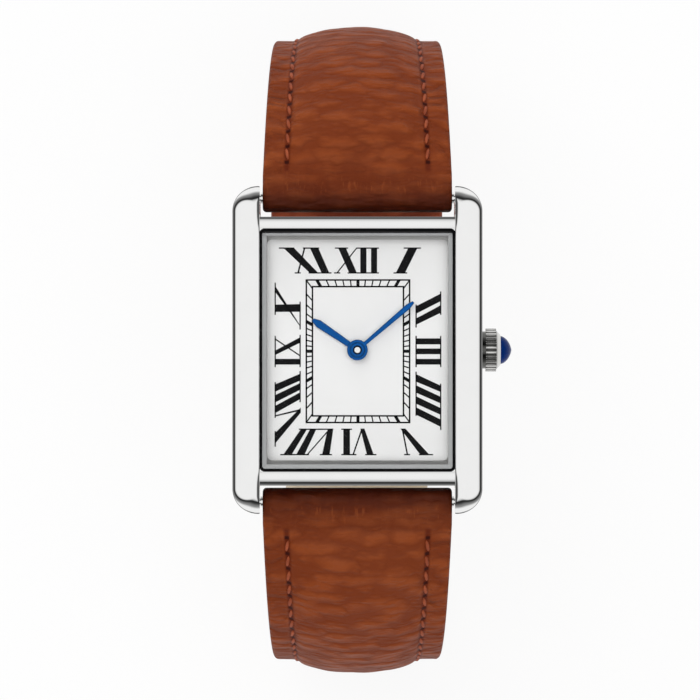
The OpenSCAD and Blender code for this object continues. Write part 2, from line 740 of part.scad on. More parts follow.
module stator() {
    color("gray") difference() {
        union() {
            translate([-core_l / 2, rotor_at[1] - stator_half, core_z - stator_t])
                cube([core_l, 2 * stator_half, stator_t]);
            for (x = [-core_l / 2, core_l / 2 - 0.7]) translate([x, rotor_at[1], core_z - stator_t])
                cube([0.7, coil_y + core_w / 2 - rotor_at[1], stator_t]);
        }
        post(rotor_at, magnet_r + magnet_gap, 0, plate_top);
    }
}
module rotor() {
    color("dimgray") {
        post(rotor_at, arbor_r, bridge_z + 0.05, arbor_top);
        post(rotor_at, magnet_r, low_wheel_z - 0.02, low_wheel_z + wheel_t);
        gear(rotor_at, rotor_leaves, train_module, rotor_turn, high_wheel_z);
    }
}
module intermediate_wheel() {
    color("gold") {
        post(intermediate_at, arbor_r, bridge_z + 0.05, arbor_top);
        gear(intermediate_at, intermediate_leaves, train_module, intermediate_turn, low_wheel_z);
        post(intermediate_at, 0.3, low_wheel_z, high_wheel_z);
        gear(intermediate_at, intermediate_teeth, train_module, 0, high_wheel_z);
    }
}
module third_wheel() {
    color("gold") {
        post(third_at, arbor_r, bridge_z + 0.05, arbor_top);
        gear(third_at, third_teeth, train_module, third_turn, low_wheel_z);
        post(third_at, 0.2, low_wheel_z, high_wheel_z);
        gear(third_at, third_leaves, train_module, third_turn, high_wheel_z);
    }
}
module centre_wheel() {
    color("gold") {
        gear([0, 0], centre_teeth, train_module, 0, high_wheel_z);
        post([0, 0], centre_arbor_r, high_wheel_z, cannon_top - 0.4);
    }
}
module cannon_pinion() {
    color("silver") difference() {
        union() {
            gear([0, 0], cannon_leaves, train_module, 0, motion_z);
            post([0, 0], cannon_r, high_wheel_z + wheel_t, cannon_top);
        }
        post([0, 0], centre_arbor_r, 0, cannon_top - 0.4);
    }
}
module minute_wheel() {
    color("gold") {
        gear(minute_at, minute_teeth, train_module, minute_turn, motion_z);
        gear(minute_at, minute_leaves, hour_module, minute_turn, hour_wheel_z);
        post(minute_at, 0.3, motion_z, hour_wheel_z + wheel_t);
        post(minute_at, 0.17, plate_bottom + 0.2, motion_z);
    }
}
module hour_wheel() {
    color("gold") difference() {
        union() {
            gear([0, 0], hour_teeth, hour_module, hour_turn, hour_wheel_z);
            post([0, 0], hour_pipe_r, hour_wheel_z, hour_hand_z + hand_t + 0.08);
        }
        post([0, 0], cannon_r + run_gap, 0, crystal_top);
    }
}
module setting_wheel() {
    color("gold") {
        gear(setting_at, setting_teeth, train_module, setting_turn, motion_z);
        post(setting_at, 0.17, plate_bottom + 0.2, motion_z);
    }
}
module clutch_wheel() {
    hole = square_w + 2 * square_gap;
    teeth = 14;
    color("silver") difference() {
        rod_x(clutch_r, clutch_x, clutch_x + clutch_l, stem_z);
        translate([clutch_x - 1, -hole / 2, stem_z - hole / 2]) cube([clutch_l + 2, hole, hole]);
        for (i = [0:teeth - 1]) translate([clutch_x, 0, stem_z]) rotate([i * 360 / teeth, 0, 0])
            translate([-cut, -0.05, clutch_r - 0.2]) cube([0.25 + cut, 0.1, 1]);
    }
}
module setting_lever() {
    color("silver") difference() {
        union() {
            translate([0, 0, lever_z]) linear_extrude(lever_t) {
                translate([lever_x - 0.3, -lever_arm]) square([0.6, lever_arm]);
                translate([lever_x, 0]) circle(0.3);
                translate([lever_x, -lever_arm]) circle(0.6);
            }
            post([lever_x, 0], lever_pin_r, lever_z, stem_z - groove_r - 0.06);
        }
        post([lever_x, -lever_arm], lever_post_r + pivot_gap, 0, plate_top);
    }
}
module winding_stem() {
    color("silver") difference() {
        union() {
            rod_x(pilot_r, pilot_x, square_x, stem_z);
            translate([square_x, -square_w / 2, stem_z - square_w / 2])
                cube([square_end - square_x, square_w, square_w]);
            rod_x(stem_r, square_end, setting_x - 0.6, stem_z);
        }
        difference() {
            rod_x(stem_r + cut, groove_x, groove_x + groove_w, stem_z);
            rod_x(groove_r, groove_x - 1, groove_x + groove_w + 1, stem_z);
        }
    }
}

// Crown
module crown() {
    color("gainsboro") difference() {
        union() {
            rod_x(collar_r, crown_x, flute_x, stem_z);
            rod_x(crown_r, flute_x, shoulder_x, stem_z);
            translate([shoulder_x, 0, stem_z]) rotate([0, 90, 0])
                cylinder(h = shoulder_l, r1 = crown_r - 0.15, r2 = shoulder_r);
        }
        for (i = [0:flutes - 1]) translate([0, 0, stem_z]) rotate([(i + 0.5) * 360 / flutes, 0, 0])
            translate([0, crown_r + flute_r * 0.25, 0])
                rod_x(flute_r, flute_x - cut, shoulder_x + 0.15, 0);
        rod_x(crown_bore_r, crown_x - cut, crown_x + crown_bore_l, stem_z);
        rod_x(stem_r, crown_x, setting_x - 0.6, stem_z);
        rod_x(cabochon_r, setting_x - 0.3, setting_x + 1, stem_z);
    }
}
// The cabochon's dome is a pointed arch turned about the crown's axis
module crown_cabochon() {
    steps = 12;
    dome = [for (i = [0:steps]) let (t = i / steps)
        [cabochon_r * (1 - pow(t, 1.7)), cabochon_h * (0.62 * sin(90 * t) + 0.38 * t)]];
    color("navy") translate([setting_x - 0.3, 0, stem_z]) rotate([0, 90, 0]) rotate_extrude()
        polygon(concat([[0, 0], [cabochon_r, 0]], [for (p = dome) [max(0, p[0]), p[1] + 0.3]]));
}
module crown_gasket() {
    color("black") difference() {
        rod_x(crown_bore_r, crown_x + 0.1, crown_x + 0.4, stem_z);
        rod_x(tube_r + pivot_gap, crown_x, crown_x + 1, stem_z);
    }
}

// Strap
module spring_bar(side) {
    color("silver") translate([0, side * bar_y, 0]) {
        rod_x(spring_bar_r, -lug_gap / 2 + 0.6, lug_gap / 2 - 0.6, bar_z);
        rod_x(spring_bar_r * 0.75, -lug_gap / 2 + 0.05, lug_gap / 2 - 0.05, bar_z);
        rod_x(bar_tip_r, -lug_gap / 2 - bar_tip_l, lug_gap / 2 + bar_tip_l, bar_z);
    }
}
module spring_bar_upper() { spring_bar(1); }
module spring_bar_lower() { spring_bar(-1); }
// Folded end round a bar, drawn in the strap's own direction
module fold_outline(r, bore, length, top, bottom) {
    difference() {
        union() {
            circle(r);
            polygon([[0, r], [0, -r], [length, -bottom], [length, top]]);
        }
        circle(bore);
    }
}
module strap_fold() {
    color("saddlebrown") translate([0, bar_y, bar_z]) rotate([-lug_slope, 0, 0])
        across(2 * half_width(fold_l))
            fold_outline(lug_fold_r, spring_bar_r + run_gap, fold_l, leather_t, lining_t);
}
module upper_strap_fold() { strap_fold(); }
module lower_strap_fold() { mirror([0, 1, 0]) strap_fold(); }
module upper_strap_leather() {
    color("sienna") strap_leather(past_fold(buckle_stations), side_bend_l + side_run);
}
module upper_strap_lining() {
    color("saddlebrown") strap_lining(past_fold(buckle_stations));
}
module lower_strap_leather() {
    color("sienna") mirror([0, 1, 0]) difference() {
        strap_leather(concat(past_fold(long_stations), tip_stations), side_bend_l + side_run);
        tongue_hole_cutters();
    }
}
module lower_strap_lining() {
    color("saddlebrown") mirror([0, 1, 0]) difference() {
        strap_lining(concat(past_fold(long_stations), tip_stations));
        tongue_hole_cutters();
    }
}
// The fold at the buckle has a slot in its middle for the tongue
module buckle_fold() {
    slot = tongue_w + 1.2;
    slot_end = fold_l - 0.6;
    color("saddlebrown") translate([0, buckle_at[0], buckle_at[1]]) difference() {
        across(2 * half_width(buckle_end[2]))
            fold_outline(leather_t, buckle_bar_r + run_gap, fold_l, lining_t, leather_t);
        translate([-slot / 2, -3, -3]) cube([slot, 3 + slot_end, 6]);
    }
}
module keeper(at_y, w, gap) {
    inner_w = strap_end_w + 1.2 + 2 * gap;
    inner_h = leather_t + lining_t + tail_room + gap;
    mid = buckle_at[1] + lining_t + gap - inner_h / 2;
    color("sienna") translate([0, at_y, mid]) along(w) difference() {
        round_rect(inner_w + 2 * keeper_t, inner_h + 2 * keeper_t, 0.8);
        round_rect(inner_w, inner_h, 0.3);
    }
}
fixed_keeper_y = buckle_at[0] + fold_l + keeper_gap / 2 + fixed_keeper_w / 2;
free_keeper_y = fixed_keeper_y + fixed_keeper_w / 2 + keeper_gap + free_keeper_w / 2;
module fixed_keeper() { keeper(fixed_keeper_y, fixed_keeper_w, 0.02); }
module free_keeper() { keeper(free_keeper_y, free_keeper_w, 0.1); }

// Buckle
window_half = strap_end_w / 2 + 0.4;
tongue_top = buckle_t / 2 - 0.25;
tongue_clear = 0.05;
module buckle_frame() {
    band = buckle_band;
    outer = 2 * (window_half + band);
    color("gainsboro") translate([0, buckle_at[0], buckle_at[1]]) difference() {
        translate([0, 0, -buckle_t / 2]) linear_extrude(buckle_t) difference() {
            translate([0, -buckle_l / 2 + 0.5]) round_rect(outer, buckle_l + 1, 1);
            translate([-window_half, band - buckle_l])
                square([2 * window_half, buckle_l + 4]);
        }
        rod_x(buckle_bar_r, -outer, outer, 0);
        translate([-tongue_w / 2 - 0.1, -band / 2 - buckle_l, -buckle_t])
            cube([tongue_w + 0.2, 2 * band, buckle_t - tongue_top + tongue_clear]);
    }
}
module buckle_bar() {
    color("silver") translate([0, buckle_at[0], 0])
        rod_x(buckle_bar_r, -window_half - buckle_band + 0.1, window_half + buckle_band - 0.1, buckle_at[1]);
}
module buckle_tongue() {
    eye_r = 1.1;
    drop = tongue_top;
    t = 0.7;
    color("gainsboro") translate([0, buckle_at[0], buckle_at[1]]) difference() {
        across(tongue_w) union() {
            circle(eye_r);
            polygon([[0, -eye_r], [0.4, 0], [-1, 0.3], [-2.2, -drop + t - 0.6], [-buckle_l + 0.3, -drop],
                [-buckle_l + 0.1, -drop - t * 0.6], [-2, -drop - t]]);
        }
        rod_x(buckle_bar_r + run_gap, -5, 5, 0);
    }
}

case_middle();
crystal();
crystal_gasket();
dial();
hour_hand();
minute_hand();
case_back();
back_gasket();
back_screws();
case_tube();
movement_holder();
main_plate();
train_bridge();
movement_screws();
battery();
battery_clip();
circuit_board();
control_chip();
quartz_can();
coil_winding();
coil_core();
stator();
rotor();
intermediate_wheel();
third_wheel();
centre_wheel();
cannon_pinion();
minute_wheel();
hour_wheel();
setting_wheel();
clutch_wheel();
setting_lever();
winding_stem();
crown();
crown_cabochon();
crown_gasket();
spring_bar_upper();
spring_bar_lower();
upper_strap_fold();
upper_strap_leather();
upper_strap_lining();
buckle_fold();
fixed_keeper();
free_keeper();
buckle_frame();
buckle_bar();
buckle_tongue();
lower_strap_fold();
lower_strap_leather();
lower_strap_lining();
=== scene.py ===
"""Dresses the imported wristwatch: padded leather strap, printed dial, polished case and its works.

Every length is in metres once it reaches Blender. Sizes in the classes are in millimetres and are
multiplied by MM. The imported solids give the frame, and each new piece rides on the body that it is
part of.
"""

import logging
import math
from dataclasses import dataclass
from enum import Enum
from typing import Sequence

import bmesh
import bpy
import numpy as np
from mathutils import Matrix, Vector, noise


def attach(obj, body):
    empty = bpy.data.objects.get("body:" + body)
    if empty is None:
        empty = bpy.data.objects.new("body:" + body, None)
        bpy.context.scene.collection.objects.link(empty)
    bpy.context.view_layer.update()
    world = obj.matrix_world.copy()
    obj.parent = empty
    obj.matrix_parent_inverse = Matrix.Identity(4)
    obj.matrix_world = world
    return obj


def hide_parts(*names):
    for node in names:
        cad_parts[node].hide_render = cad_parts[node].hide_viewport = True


MM = 0.001
WELD = 0.002 * MM
Colour = tuple[float, float, float]
Place = tuple[float, float, float]
Point = tuple[float, float]

# Several pieces share the pitch of the stitches, the y and z of the spring bars, and how much of
# the strap's half width a rounded edge may take up where the tip narrows.
STITCH_PITCH = 1.75
BAR_AT: Point = (15.6, 2.5)
TIP_EDGE_SHARE = 0.3

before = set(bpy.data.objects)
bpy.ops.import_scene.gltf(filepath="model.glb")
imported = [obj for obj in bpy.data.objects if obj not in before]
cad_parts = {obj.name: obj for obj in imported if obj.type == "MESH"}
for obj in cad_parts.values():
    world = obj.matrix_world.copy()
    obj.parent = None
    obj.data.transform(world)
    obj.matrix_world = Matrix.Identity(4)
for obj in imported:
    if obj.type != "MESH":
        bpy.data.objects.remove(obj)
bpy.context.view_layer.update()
log = logging.getLogger("wristwatch")


class Body(Enum):
    """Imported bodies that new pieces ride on."""

    CASE = "case"
    MINUTE = "minute_train"
    HOUR = "hour_train"
    CROWN = "crown_stem"
    UPPER = "upper_strap"
    KEEPER = "keeper"
    BUCKLE = "buckle"
    TONGUE = "tongue"
    LOWER = "lower_strap"


class Slot(Enum):
    """Material slots of the record that new pieces take."""

    POLISHED = "polished_steel"
    BRUSHED = "brushed_steel"
    DIAL = "white_dial"
    BLUED = "blued_steel"
    CABOCHON = "blue_cabochon"
    LEATHER = "brown_leather"
    LINING = "lining_leather"


# Node graphs


class Graph:
    """A material's node tree with short ways to add and join nodes."""

    def __init__(self, name: str) -> None:
        """Starts a material with an empty tree and a Principled shader.

        Args:
            name: the material's name.
        """
        self.material = bpy.data.materials.new(name)
        self.material.use_nodes = True
        self.tree = self.material.node_tree
        self.tree.nodes.clear()
        self.output = self.tree.nodes.new("ShaderNodeOutputMaterial")
        self.shader = self.tree.nodes.new("ShaderNodeBsdfPrincipled")
        self.join(self.shader.outputs["BSDF"], self.output.inputs["Surface"])

    def join(self, source: bpy.types.NodeSocket, target: bpy.types.NodeSocket) -> None:
        """Links an output to an input."""
        self.tree.links.new(source, target)

    def node(self, kind: str, **settings: object) -> bpy.types.Node:
        """Adds a node and sets its properties or its inputs by name.

        Args:
            kind: the node's type.
            settings: property values, or input values with spaces written as underscores.

        Returns:
            The new node.
        """
        made = self.tree.nodes.new(kind)
        for key, value in settings.items():
            if hasattr(made, key):
                setattr(made, key, value)
            else:
                self.put(value, made.inputs[key.replace("_", " ")])
        return made

    def put(self, value: object, socket: bpy.types.NodeSocket) -> None:
        """Links a socket's value, or sets it as a plain value."""
        if isinstance(value, bpy.types.NodeSocket):
            self.join(value, socket)
        else:
            socket.default_value = value

    def base(self, **values: object) -> None:
        """Sets inputs of the Principled shader, named with underscores."""
        for key, value in values.items():
            self.put(value, self.shader.inputs[key.replace("_", " ")])

    def place(self, scale: Sequence[float] = (1, 1, 1)) -> bpy.types.NodeSocket:
        """The piece's own coordinates, in millimetres, stretched by a scale.

        Args:
            scale: factors along x, y and z.

        Returns:
            The vector socket.
        """
        own = self.node("ShaderNodeTexCoord").outputs["Object"]
        sized = [factor / MM for factor in scale]
        return self.node("ShaderNodeMapping", Vector=own, Scale=sized).outputs["Vector"]

    def chart(self, layer: str) -> bpy.types.NodeSocket:
        """The vector of one of the piece's own UV layers, which hold millimetres."""
        return self.node("ShaderNodeUVMap", uv_map=layer).outputs["UV"]

    def math(self, operation: str, *values: object) -> bpy.types.NodeSocket:
        """A sum, product or other operation on numbers.

        Args:
            operation: the Math node's operation.
            values: its inputs, numbers or sockets.

        Returns:
            The value socket.
        """
        made = self.node("ShaderNodeMath", operation=operation)
        for index, value in enumerate(values):
            self.put(value, made.inputs[index])
        return made.outputs[0]

    def axis(self, vector: object, name: str) -> bpy.types.NodeSocket:
        """One number of a vector: its X, Y or Z."""
        return self.node("ShaderNodeSeparateXYZ", Vector=vector).outputs[name]

    def noise(self, vector: object, scale: float, detail: float = 3) -> bpy.types.NodeSocket:
        """A noise value.

        Args:
            vector: where it is read.
            scale: its frequency.
            detail: its octaves.

        Returns:
            The value socket.
        """
        return self.node("ShaderNodeTexNoise", Vector=vector, Scale=scale, Detail=detail).outputs[0]

    def spread(
        self, value: object, low: float, high: float, out: Point = (0, 1)
    ) -> bpy.types.NodeSocket:
        """A number spread from one range to another, kept inside it.

        Args:
            value: the number.
            low: what becomes the first end of out.
            high: what becomes the second end of out.
            out: the new range.

        Returns:
            The value socket.
        """
        made = self.node("ShaderNodeMapRange", clamp=True)
        for index, number in enumerate((value, low, high, out[0], out[1])):
            self.put(number, made.inputs[index])
        return made.outputs[0]

    def mix(self, share: object, first: object, second: object) -> bpy.types.NodeSocket:
        """A colour between two.

        Args:
            share: how much of the second.
            first: the colour at 0.
            second: the colour at 1.

        Returns:
            The colour socket.
        """
        made = self.node("ShaderNodeMix", data_type="RGBA")
        for index, value in ((0, share), (6, first), (7, second)):
            if isinstance(value, tuple):
                value = (*value, 1.0)
            self.put(value, made.inputs[index])
        return made.outputs[2]

    def bump(self, height: object, depth: float, strength: float = 1) -> bpy.types.NodeSocket:
        """A bumped normal.

        Args:
            height: the height socket.
            depth: how deep a height of 1 is, in millimetres.
            strength: how strongly it shows.

        Returns:
            The normal socket.
        """
        return self.node(
            "ShaderNodeBump", Height=height, Strength=strength, Distance=depth * MM
        ).outputs[0]


@dataclass(frozen=True)
class Metal:
    """Polished or brushed metal with fine wear."""

    name: str
    colour: Colour
    roughness: float
    grain: Sequence[float] = (3, 3, 3)
    wear: float = 0.04
    depth: float = 0.002
    tarnish: float = 0.93

    def build(self) -> bpy.types.Material:
        """Makes the material: two sizes of wear in the roughness and a very fine bump."""
        graph = Graph(self.name)
        place = graph.place(self.grain)
        fine = graph.noise(place, 6, 4)
        broad = graph.noise(graph.place(), 0.35, 2)
        dark = tuple(part * self.tarnish for part in self.colour)
        rough = graph.math("ADD", graph.spread(fine, 0.3, 0.75, (0, self.wear)), self.roughness)
        graph.base(
            Base_Color=graph.mix(graph.spread(broad, 0.35, 0.65), self.colour, dark),
            Metallic=1.0,
            Roughness=rough,
            Normal=graph.bump(fine, self.depth, 0.3),
        )
        return graph.material


@dataclass(frozen=True)
class Moulded:
    """Moulded, painted or lacquered stuff: plastic, rubber, enamel, a board."""

    name: str
    colour: Colour
    roughness: float
    second: Colour | None = None
    scale: float = 2
    depth: float = 0.01
    coat: float = 0.0
    gloss: float = 0.5

    def build(self) -> bpy.types.Material:
        """Makes the material: a soft change of tone, a fine grain and perhaps a clear coat."""
        graph = Graph(self.name)
        grain = graph.noise(graph.place(), self.scale * 4, 5)
        tone = graph.noise(graph.place(), self.scale * 0.3, 2)
        second = self.second or tuple(part * 0.9 for part in self.colour)
        graph.base(
            Base_Color=graph.mix(graph.spread(tone, 0.35, 0.7), self.colour, second),
            Roughness=graph.spread(grain, 0.3, 0.7, (self.roughness, self.roughness + 0.08)),
            Coat_Weight=self.coat,
            Specular_IOR_Level=self.gloss,
            Normal=graph.bump(grain, self.depth, 0.4),
        )
        return graph.material


@dataclass(frozen=True)
class Crystal:
    """Thin clear mineral glass whose bevel is painted pale as its reflection, with a black band
    painted along its upper edge.

    The bevel at twelve o'clock, above top_from along y, has painted shade: it is a little darker
    than the other three.
    """

    name: str = "mineral_glass"
    clear: float = 0.006
    bevel: float = 0.58
    # Extra opacity of the painted shade on the bevel at twelve o'clock.
    top_shade_opacity: float = 0.04
    top_from: float = 11.4
    # Where the black band painted along the upper edge starts.
    black_band_from: float = 11.9
    # Colours of the bevel's painted reflection and of the painted shade on its part at twelve
    # o'clock.
    bevel_reflection_colour: Colour = (0.88, 0.9, 0.91)
    top_shade_colour: Colour = (0.62, 0.63, 0.64)
    clear_colour: Colour = (0.4, 0.41, 0.42)
    black_band_colour: Colour = (0.006, 0.006, 0.006)

    def build(self) -> bpy.types.Material:
        """Makes the material: its opacity rises on the bevel, told by the faces' slope, to show the
        bevel's painted reflection, and at grazing views as a painted sheen.
        """
        graph = Graph(self.name)
        normal = graph.node("ShaderNodeNewGeometry").outputs["Normal"]
        level = graph.math("ABSOLUTE", graph.axis(normal, "Z"))
        slope = graph.spread(level, 0.72, 0.95, (1, 0))
        smear = graph.noise(graph.place(), 0.4, 3)
        haze = graph.spread(smear, 0.4, 0.8, (0, 0.003))
        aslant = graph.node("ShaderNodeLayerWeight", Blend=0.3).outputs["Facing"]
        # Painted sheen: the glass grows more opaque at grazing views.
        gloss = graph.spread(aslant, 0.25, 1.0, (0, 0.5))
        along = graph.axis(graph.place(), "Y")
        top = graph.spread(along, self.top_from, self.top_from + 0.2)
        # A black band painted along the upper edge.
        black_band = graph.spread(along, self.black_band_from, self.black_band_from + 0.03)
        depth = graph.math("ADD", self.bevel, graph.math("MULTIPLY", top, self.top_shade_opacity))
        shade = graph.math("MAXIMUM", graph.math("MULTIPLY", slope, depth), self.clear)
        shade = graph.math("MAXIMUM", shade, black_band)
        # Painted reflection on the bevel, darker at twelve o'clock as painted shade.
        bevel_look = graph.mix(top, self.bevel_reflection_colour, self.top_shade_colour)
        colour = graph.mix(slope, self.clear_colour, bevel_look)
        graph.base(
            Base_Color=graph.mix(black_band, colour, self.black_band_colour),
            Roughness=graph.spread(smear, 0.3, 0.8, (0.01, 0.05)),
            IOR=1.5,
            Alpha=graph.math("ADD", graph.math("ADD", haze, gloss), shade),
        )
        return graph.material


@dataclass(frozen=True)
class Leather:
    """Smooth calf leather with soft folds, painted shade low in the folds, fine pores and changes of
    tone.

    Stitched leather also has creased borders and a seam with needle holes, with painted shade in the
    creases, along the seam and in the holes. Leather with a shade band has painted shade towards the
    case, between two lengths counted from the watch's middle. The four lengths of scuffed are where
    its scuffs come in and fade again.
    """

    name: str
    colour: Colour
    # dark is the colour of the painted shade in the folds, the border creases and the seam.
    dark: Colour
    light: Colour
    fold: float = 0.36
    depth: float = 0.26
    rough: float = 0.46
    stitched: bool = False
    pitch: float = STITCH_PITCH
    case_shade: Point | None = None
    # The colour of the deepest painted shade: towards the case and in the needle holes.
    deep_shade: Colour = (0.032, 0.0025, 0.0005)
    bar_at: float = BAR_AT[0]
    scuffed: tuple[float, float, float, float] = (15.8, 16.5, 17.2, 18.4)
    crease_depth: float = 0.7

    def folds(self, graph: Graph) -> bpy.types.NodeSocket:
        """The height of the leather: long soft folds, short ripples between them, and pores."""
        warp = graph.node("ShaderNodeTexNoise", Vector=graph.place(), Scale=0.5, Detail=1.0)
        bent = graph.node("ShaderNodeVectorMath", operation="MULTIPLY_ADD")
        for socket, value in zip(bent.inputs, (warp.outputs[1], (1.4, 0.9, 0.9), graph.place())):
            graph.put(value, socket)
        long = graph.node(
            "ShaderNodeMapping", Vector=bent.outputs[0], Scale=(self.fold, 1, 1)
        ).outputs[0]
        cells = graph.node(
            "ShaderNodeTexVoronoi", feature="SMOOTH_F1", Vector=long, Scale=0.72, Smoothness=0.16
        ).outputs["Distance"]
        small = graph.node("ShaderNodeTexVoronoi", Vector=long, Scale=1.9).outputs["Distance"]
        pores = graph.noise(graph.place(), 7, 3)
        waves = graph.math(
            "ADD", graph.spread(cells, 0.05, 0.66, (1, 0)), graph.spread(small, 0.1, 0.6, (0.3, 0))
        )
        return graph.math("ADD", waves, graph.spread(pores, 0.3, 0.7, (0, 0.07)))

    def creases(self, graph: Graph) -> bpy.types.NodeSocket:
        """The height of the flat borders: creases across them with soft swellings between."""
        seam = graph.node("ShaderNodeSeparateXYZ", Vector=graph.chart("seam"))
        wander = graph.noise(graph.place((0.5, 0.6, 0.6)), 0.4, 0)
        drift = graph.spread(wander, 0.2, 0.8, (-2.4, 2.4))
        cycle = graph.math("PINGPONG", graph.math("ADD", seam.outputs["Y"], drift), 1.25)
        border = graph.spread(seam.outputs["X"], 0.2, 0.6)
        return graph.math(
            "MULTIPLY", graph.spread(cycle, 0, 0.6, (-self.crease_depth, 0)), border
        )

    def seam(self, graph: Graph, colour: bpy.types.NodeSocket) -> bpy.types.NodeSocket:
        """Paints shade on the leather in its seam's groove and in each needle hole.

        Args:
            graph: the material being made.
            colour: the leather's colour.

        Returns:
            The colour with painted shade.
        """
        seam = graph.node("ShaderNodeSeparateXYZ", Vector=graph.chart("seam"))
        sewn = graph.spread(seam.outputs["Y"], 2.3, 2.7)
        off = graph.math("ABSOLUTE", seam.outputs["X"])
        # Painted shade in the groove along the seam.
        groove = graph.math("MULTIPLY", graph.spread(off, 0.12, 0.42, (0.85, 0)), sewn)
        colour = graph.mix(groove, colour, self.dark)
        cycle = graph.math("PINGPONG", seam.outputs["Y"], self.pitch / 2)
        # Painted shade in each needle hole.
        hole_shade = graph.math(
            "MULTIPLY", graph.spread(cycle, 0.1, 0.26, (1, 0)), graph.spread(off, 0.16, 0.3, (1, 0))
        )
        return graph.mix(graph.math("MULTIPLY", hole_shade, sewn), colour, self.deep_shade)

    def from_middle(self, graph: Graph) -> bpy.types.NodeSocket:
        """The leather's length from the watch's middle: by its seam chart, or by y without one."""
        if self.stitched:
            return graph.math("ADD", graph.axis(graph.chart("seam"), "Y"), self.bar_at)
        return graph.math("ABSOLUTE", graph.axis(graph.place(), "Y"))

    def shaded_near_case(self, graph: Graph, colour: bpy.types.NodeSocket) -> bpy.types.NodeSocket:
        """Paints shade on the leather towards the case, with a ragged edge, and scuffs it there.

        Args:
            graph: the material being made.
            colour: the leather's colour.

        Returns:
            The colour with its painted shade and scuffs.
        """
        near_case = self.from_middle(graph)
        edge = graph.spread(graph.noise(graph.place((1, 0.1, 1)), 1.2, 3), 0, 1, (-0.6, 0.6))
        ragged = graph.math("ADD", near_case, edge)
        # Painted shade: the leather grows dark towards the case.
        colour = graph.mix(graph.spread(ragged, *self.case_shade, (0.96, 0)), colour, self.deep_shade)
        scuff = graph.spread(graph.noise(graph.place((2.6, 0.3, 1)), 1.3, 3), 0.58, 0.7, (0, 0.5))
        start, full, fading, end = self.scuffed
        coming = graph.spread(near_case, start, full)
        band = graph.math("MULTIPLY", coming, graph.spread(near_case, fading, end, (1, 0)))
        return graph.mix(graph.math("MULTIPLY", scuff, band), colour, self.light)

    def build(self) -> bpy.types.Material:
        """Makes the material from the piece's coordinates, and its seam chart if it is sewn."""
        graph = Graph(self.name)
        height = self.folds(graph)
        tone = graph.noise(graph.place((0.5, 1, 1)), 0.16, 2)
        colour = graph.mix(graph.spread(tone, 0.35, 0.65), self.colour, self.light)
        # Painted shade: the low parts of the folds are darker.
        colour = graph.mix(graph.spread(height, 0.15, 0.75, (0.5, 0)), colour, self.dark)
        if self.stitched:
            creased = self.creases(graph)
            depth = self.crease_depth
            # Painted shade in the border creases.
            crease_shade = graph.spread(creased, -depth, -depth / 2, (0.3, 0))
            colour = self.seam(graph, graph.mix(crease_shade, colour, self.dark))
            height = graph.math("ADD", height, creased)
        if self.case_shade:
            colour = self.shaded_near_case(graph, colour)
        graph.base(
            Base_Color=colour,
            Roughness=graph.spread(height, 0.2, 1.4, (self.rough + 0.1, self.rough)),
            Specular_IOR_Level=0.12,
            Normal=graph.bump(height, self.depth),
        )
        return graph.material


@dataclass(frozen=True)
class FlutedSteel:
    """Polished steel of the crown, with painted shade between its flutes, and bright on its ridges
    and its cone.
    """

    name: str = "fluted_steel"
    bright: Colour = (0.66, 0.655, 0.64)
    # The colour of the painted shade between the flutes.
    flute_shade: Colour = (0.13, 0.13, 0.125)
    axis_z: float = 2.6
    flutes: Point = (2.09, 2.18)
    cone_from: float = 14.24

    def build(self) -> bpy.types.Material:
        """Makes the material: its colour follows the distance from the crown's axis, with painted
        shade in the grooves.
        """
        graph = Graph(self.name)
        own = graph.node("ShaderNodeSeparateXYZ", Vector=graph.place())
        above = graph.math("SUBTRACT", own.outputs["Z"], self.axis_z)
        squares = [graph.math("POWER", part, 2.0) for part in (own.outputs["Y"], above)]
        away = graph.math("SQRT", graph.math("ADD", *squares))
        ridge = graph.math(
            "MAXIMUM", graph.spread(away, *self.flutes),
            graph.spread(own.outputs["X"], self.cone_from, self.cone_from + 0.15),
        )
        fine = graph.noise(graph.place((3, 3, 3)), 6, 4)
        graph.base(
            Base_Color=graph.mix(ridge, self.flute_shade, self.bright),
            Metallic=1.0,
            Roughness=graph.spread(fine, 0.3, 0.75, (0.1, 0.16)),
            Normal=graph.bump(fine, 0.001, 0.3),
        )
        return graph.material


@dataclass(frozen=True)
class Winding:
    """Fine copper wire wound round an axis along x."""

    name: str = "copper_winding"

    def build(self) -> bpy.types.Material:
        """Makes the material: narrow turns of bare copper side by side, with painted shade between
        the turns.
        """
        graph = Graph(self.name)
        turns = graph.node(
            "ShaderNodeTexWave", Vector=graph.place((1, 0.02, 0.02)), Scale=2.4, Distortion=0.4
        ).outputs["Fac"]
        # Painted shade: dark copper between the turns, bright copper on their crests.
        graph.base(
            Base_Color=graph.mix(turns, (0.32, 0.09, 0.03), (0.86, 0.36, 0.17)),
            Metallic=1.0,
            Roughness=0.34,
            Normal=graph.bump(turns, 0.05),
        )
        return graph.material


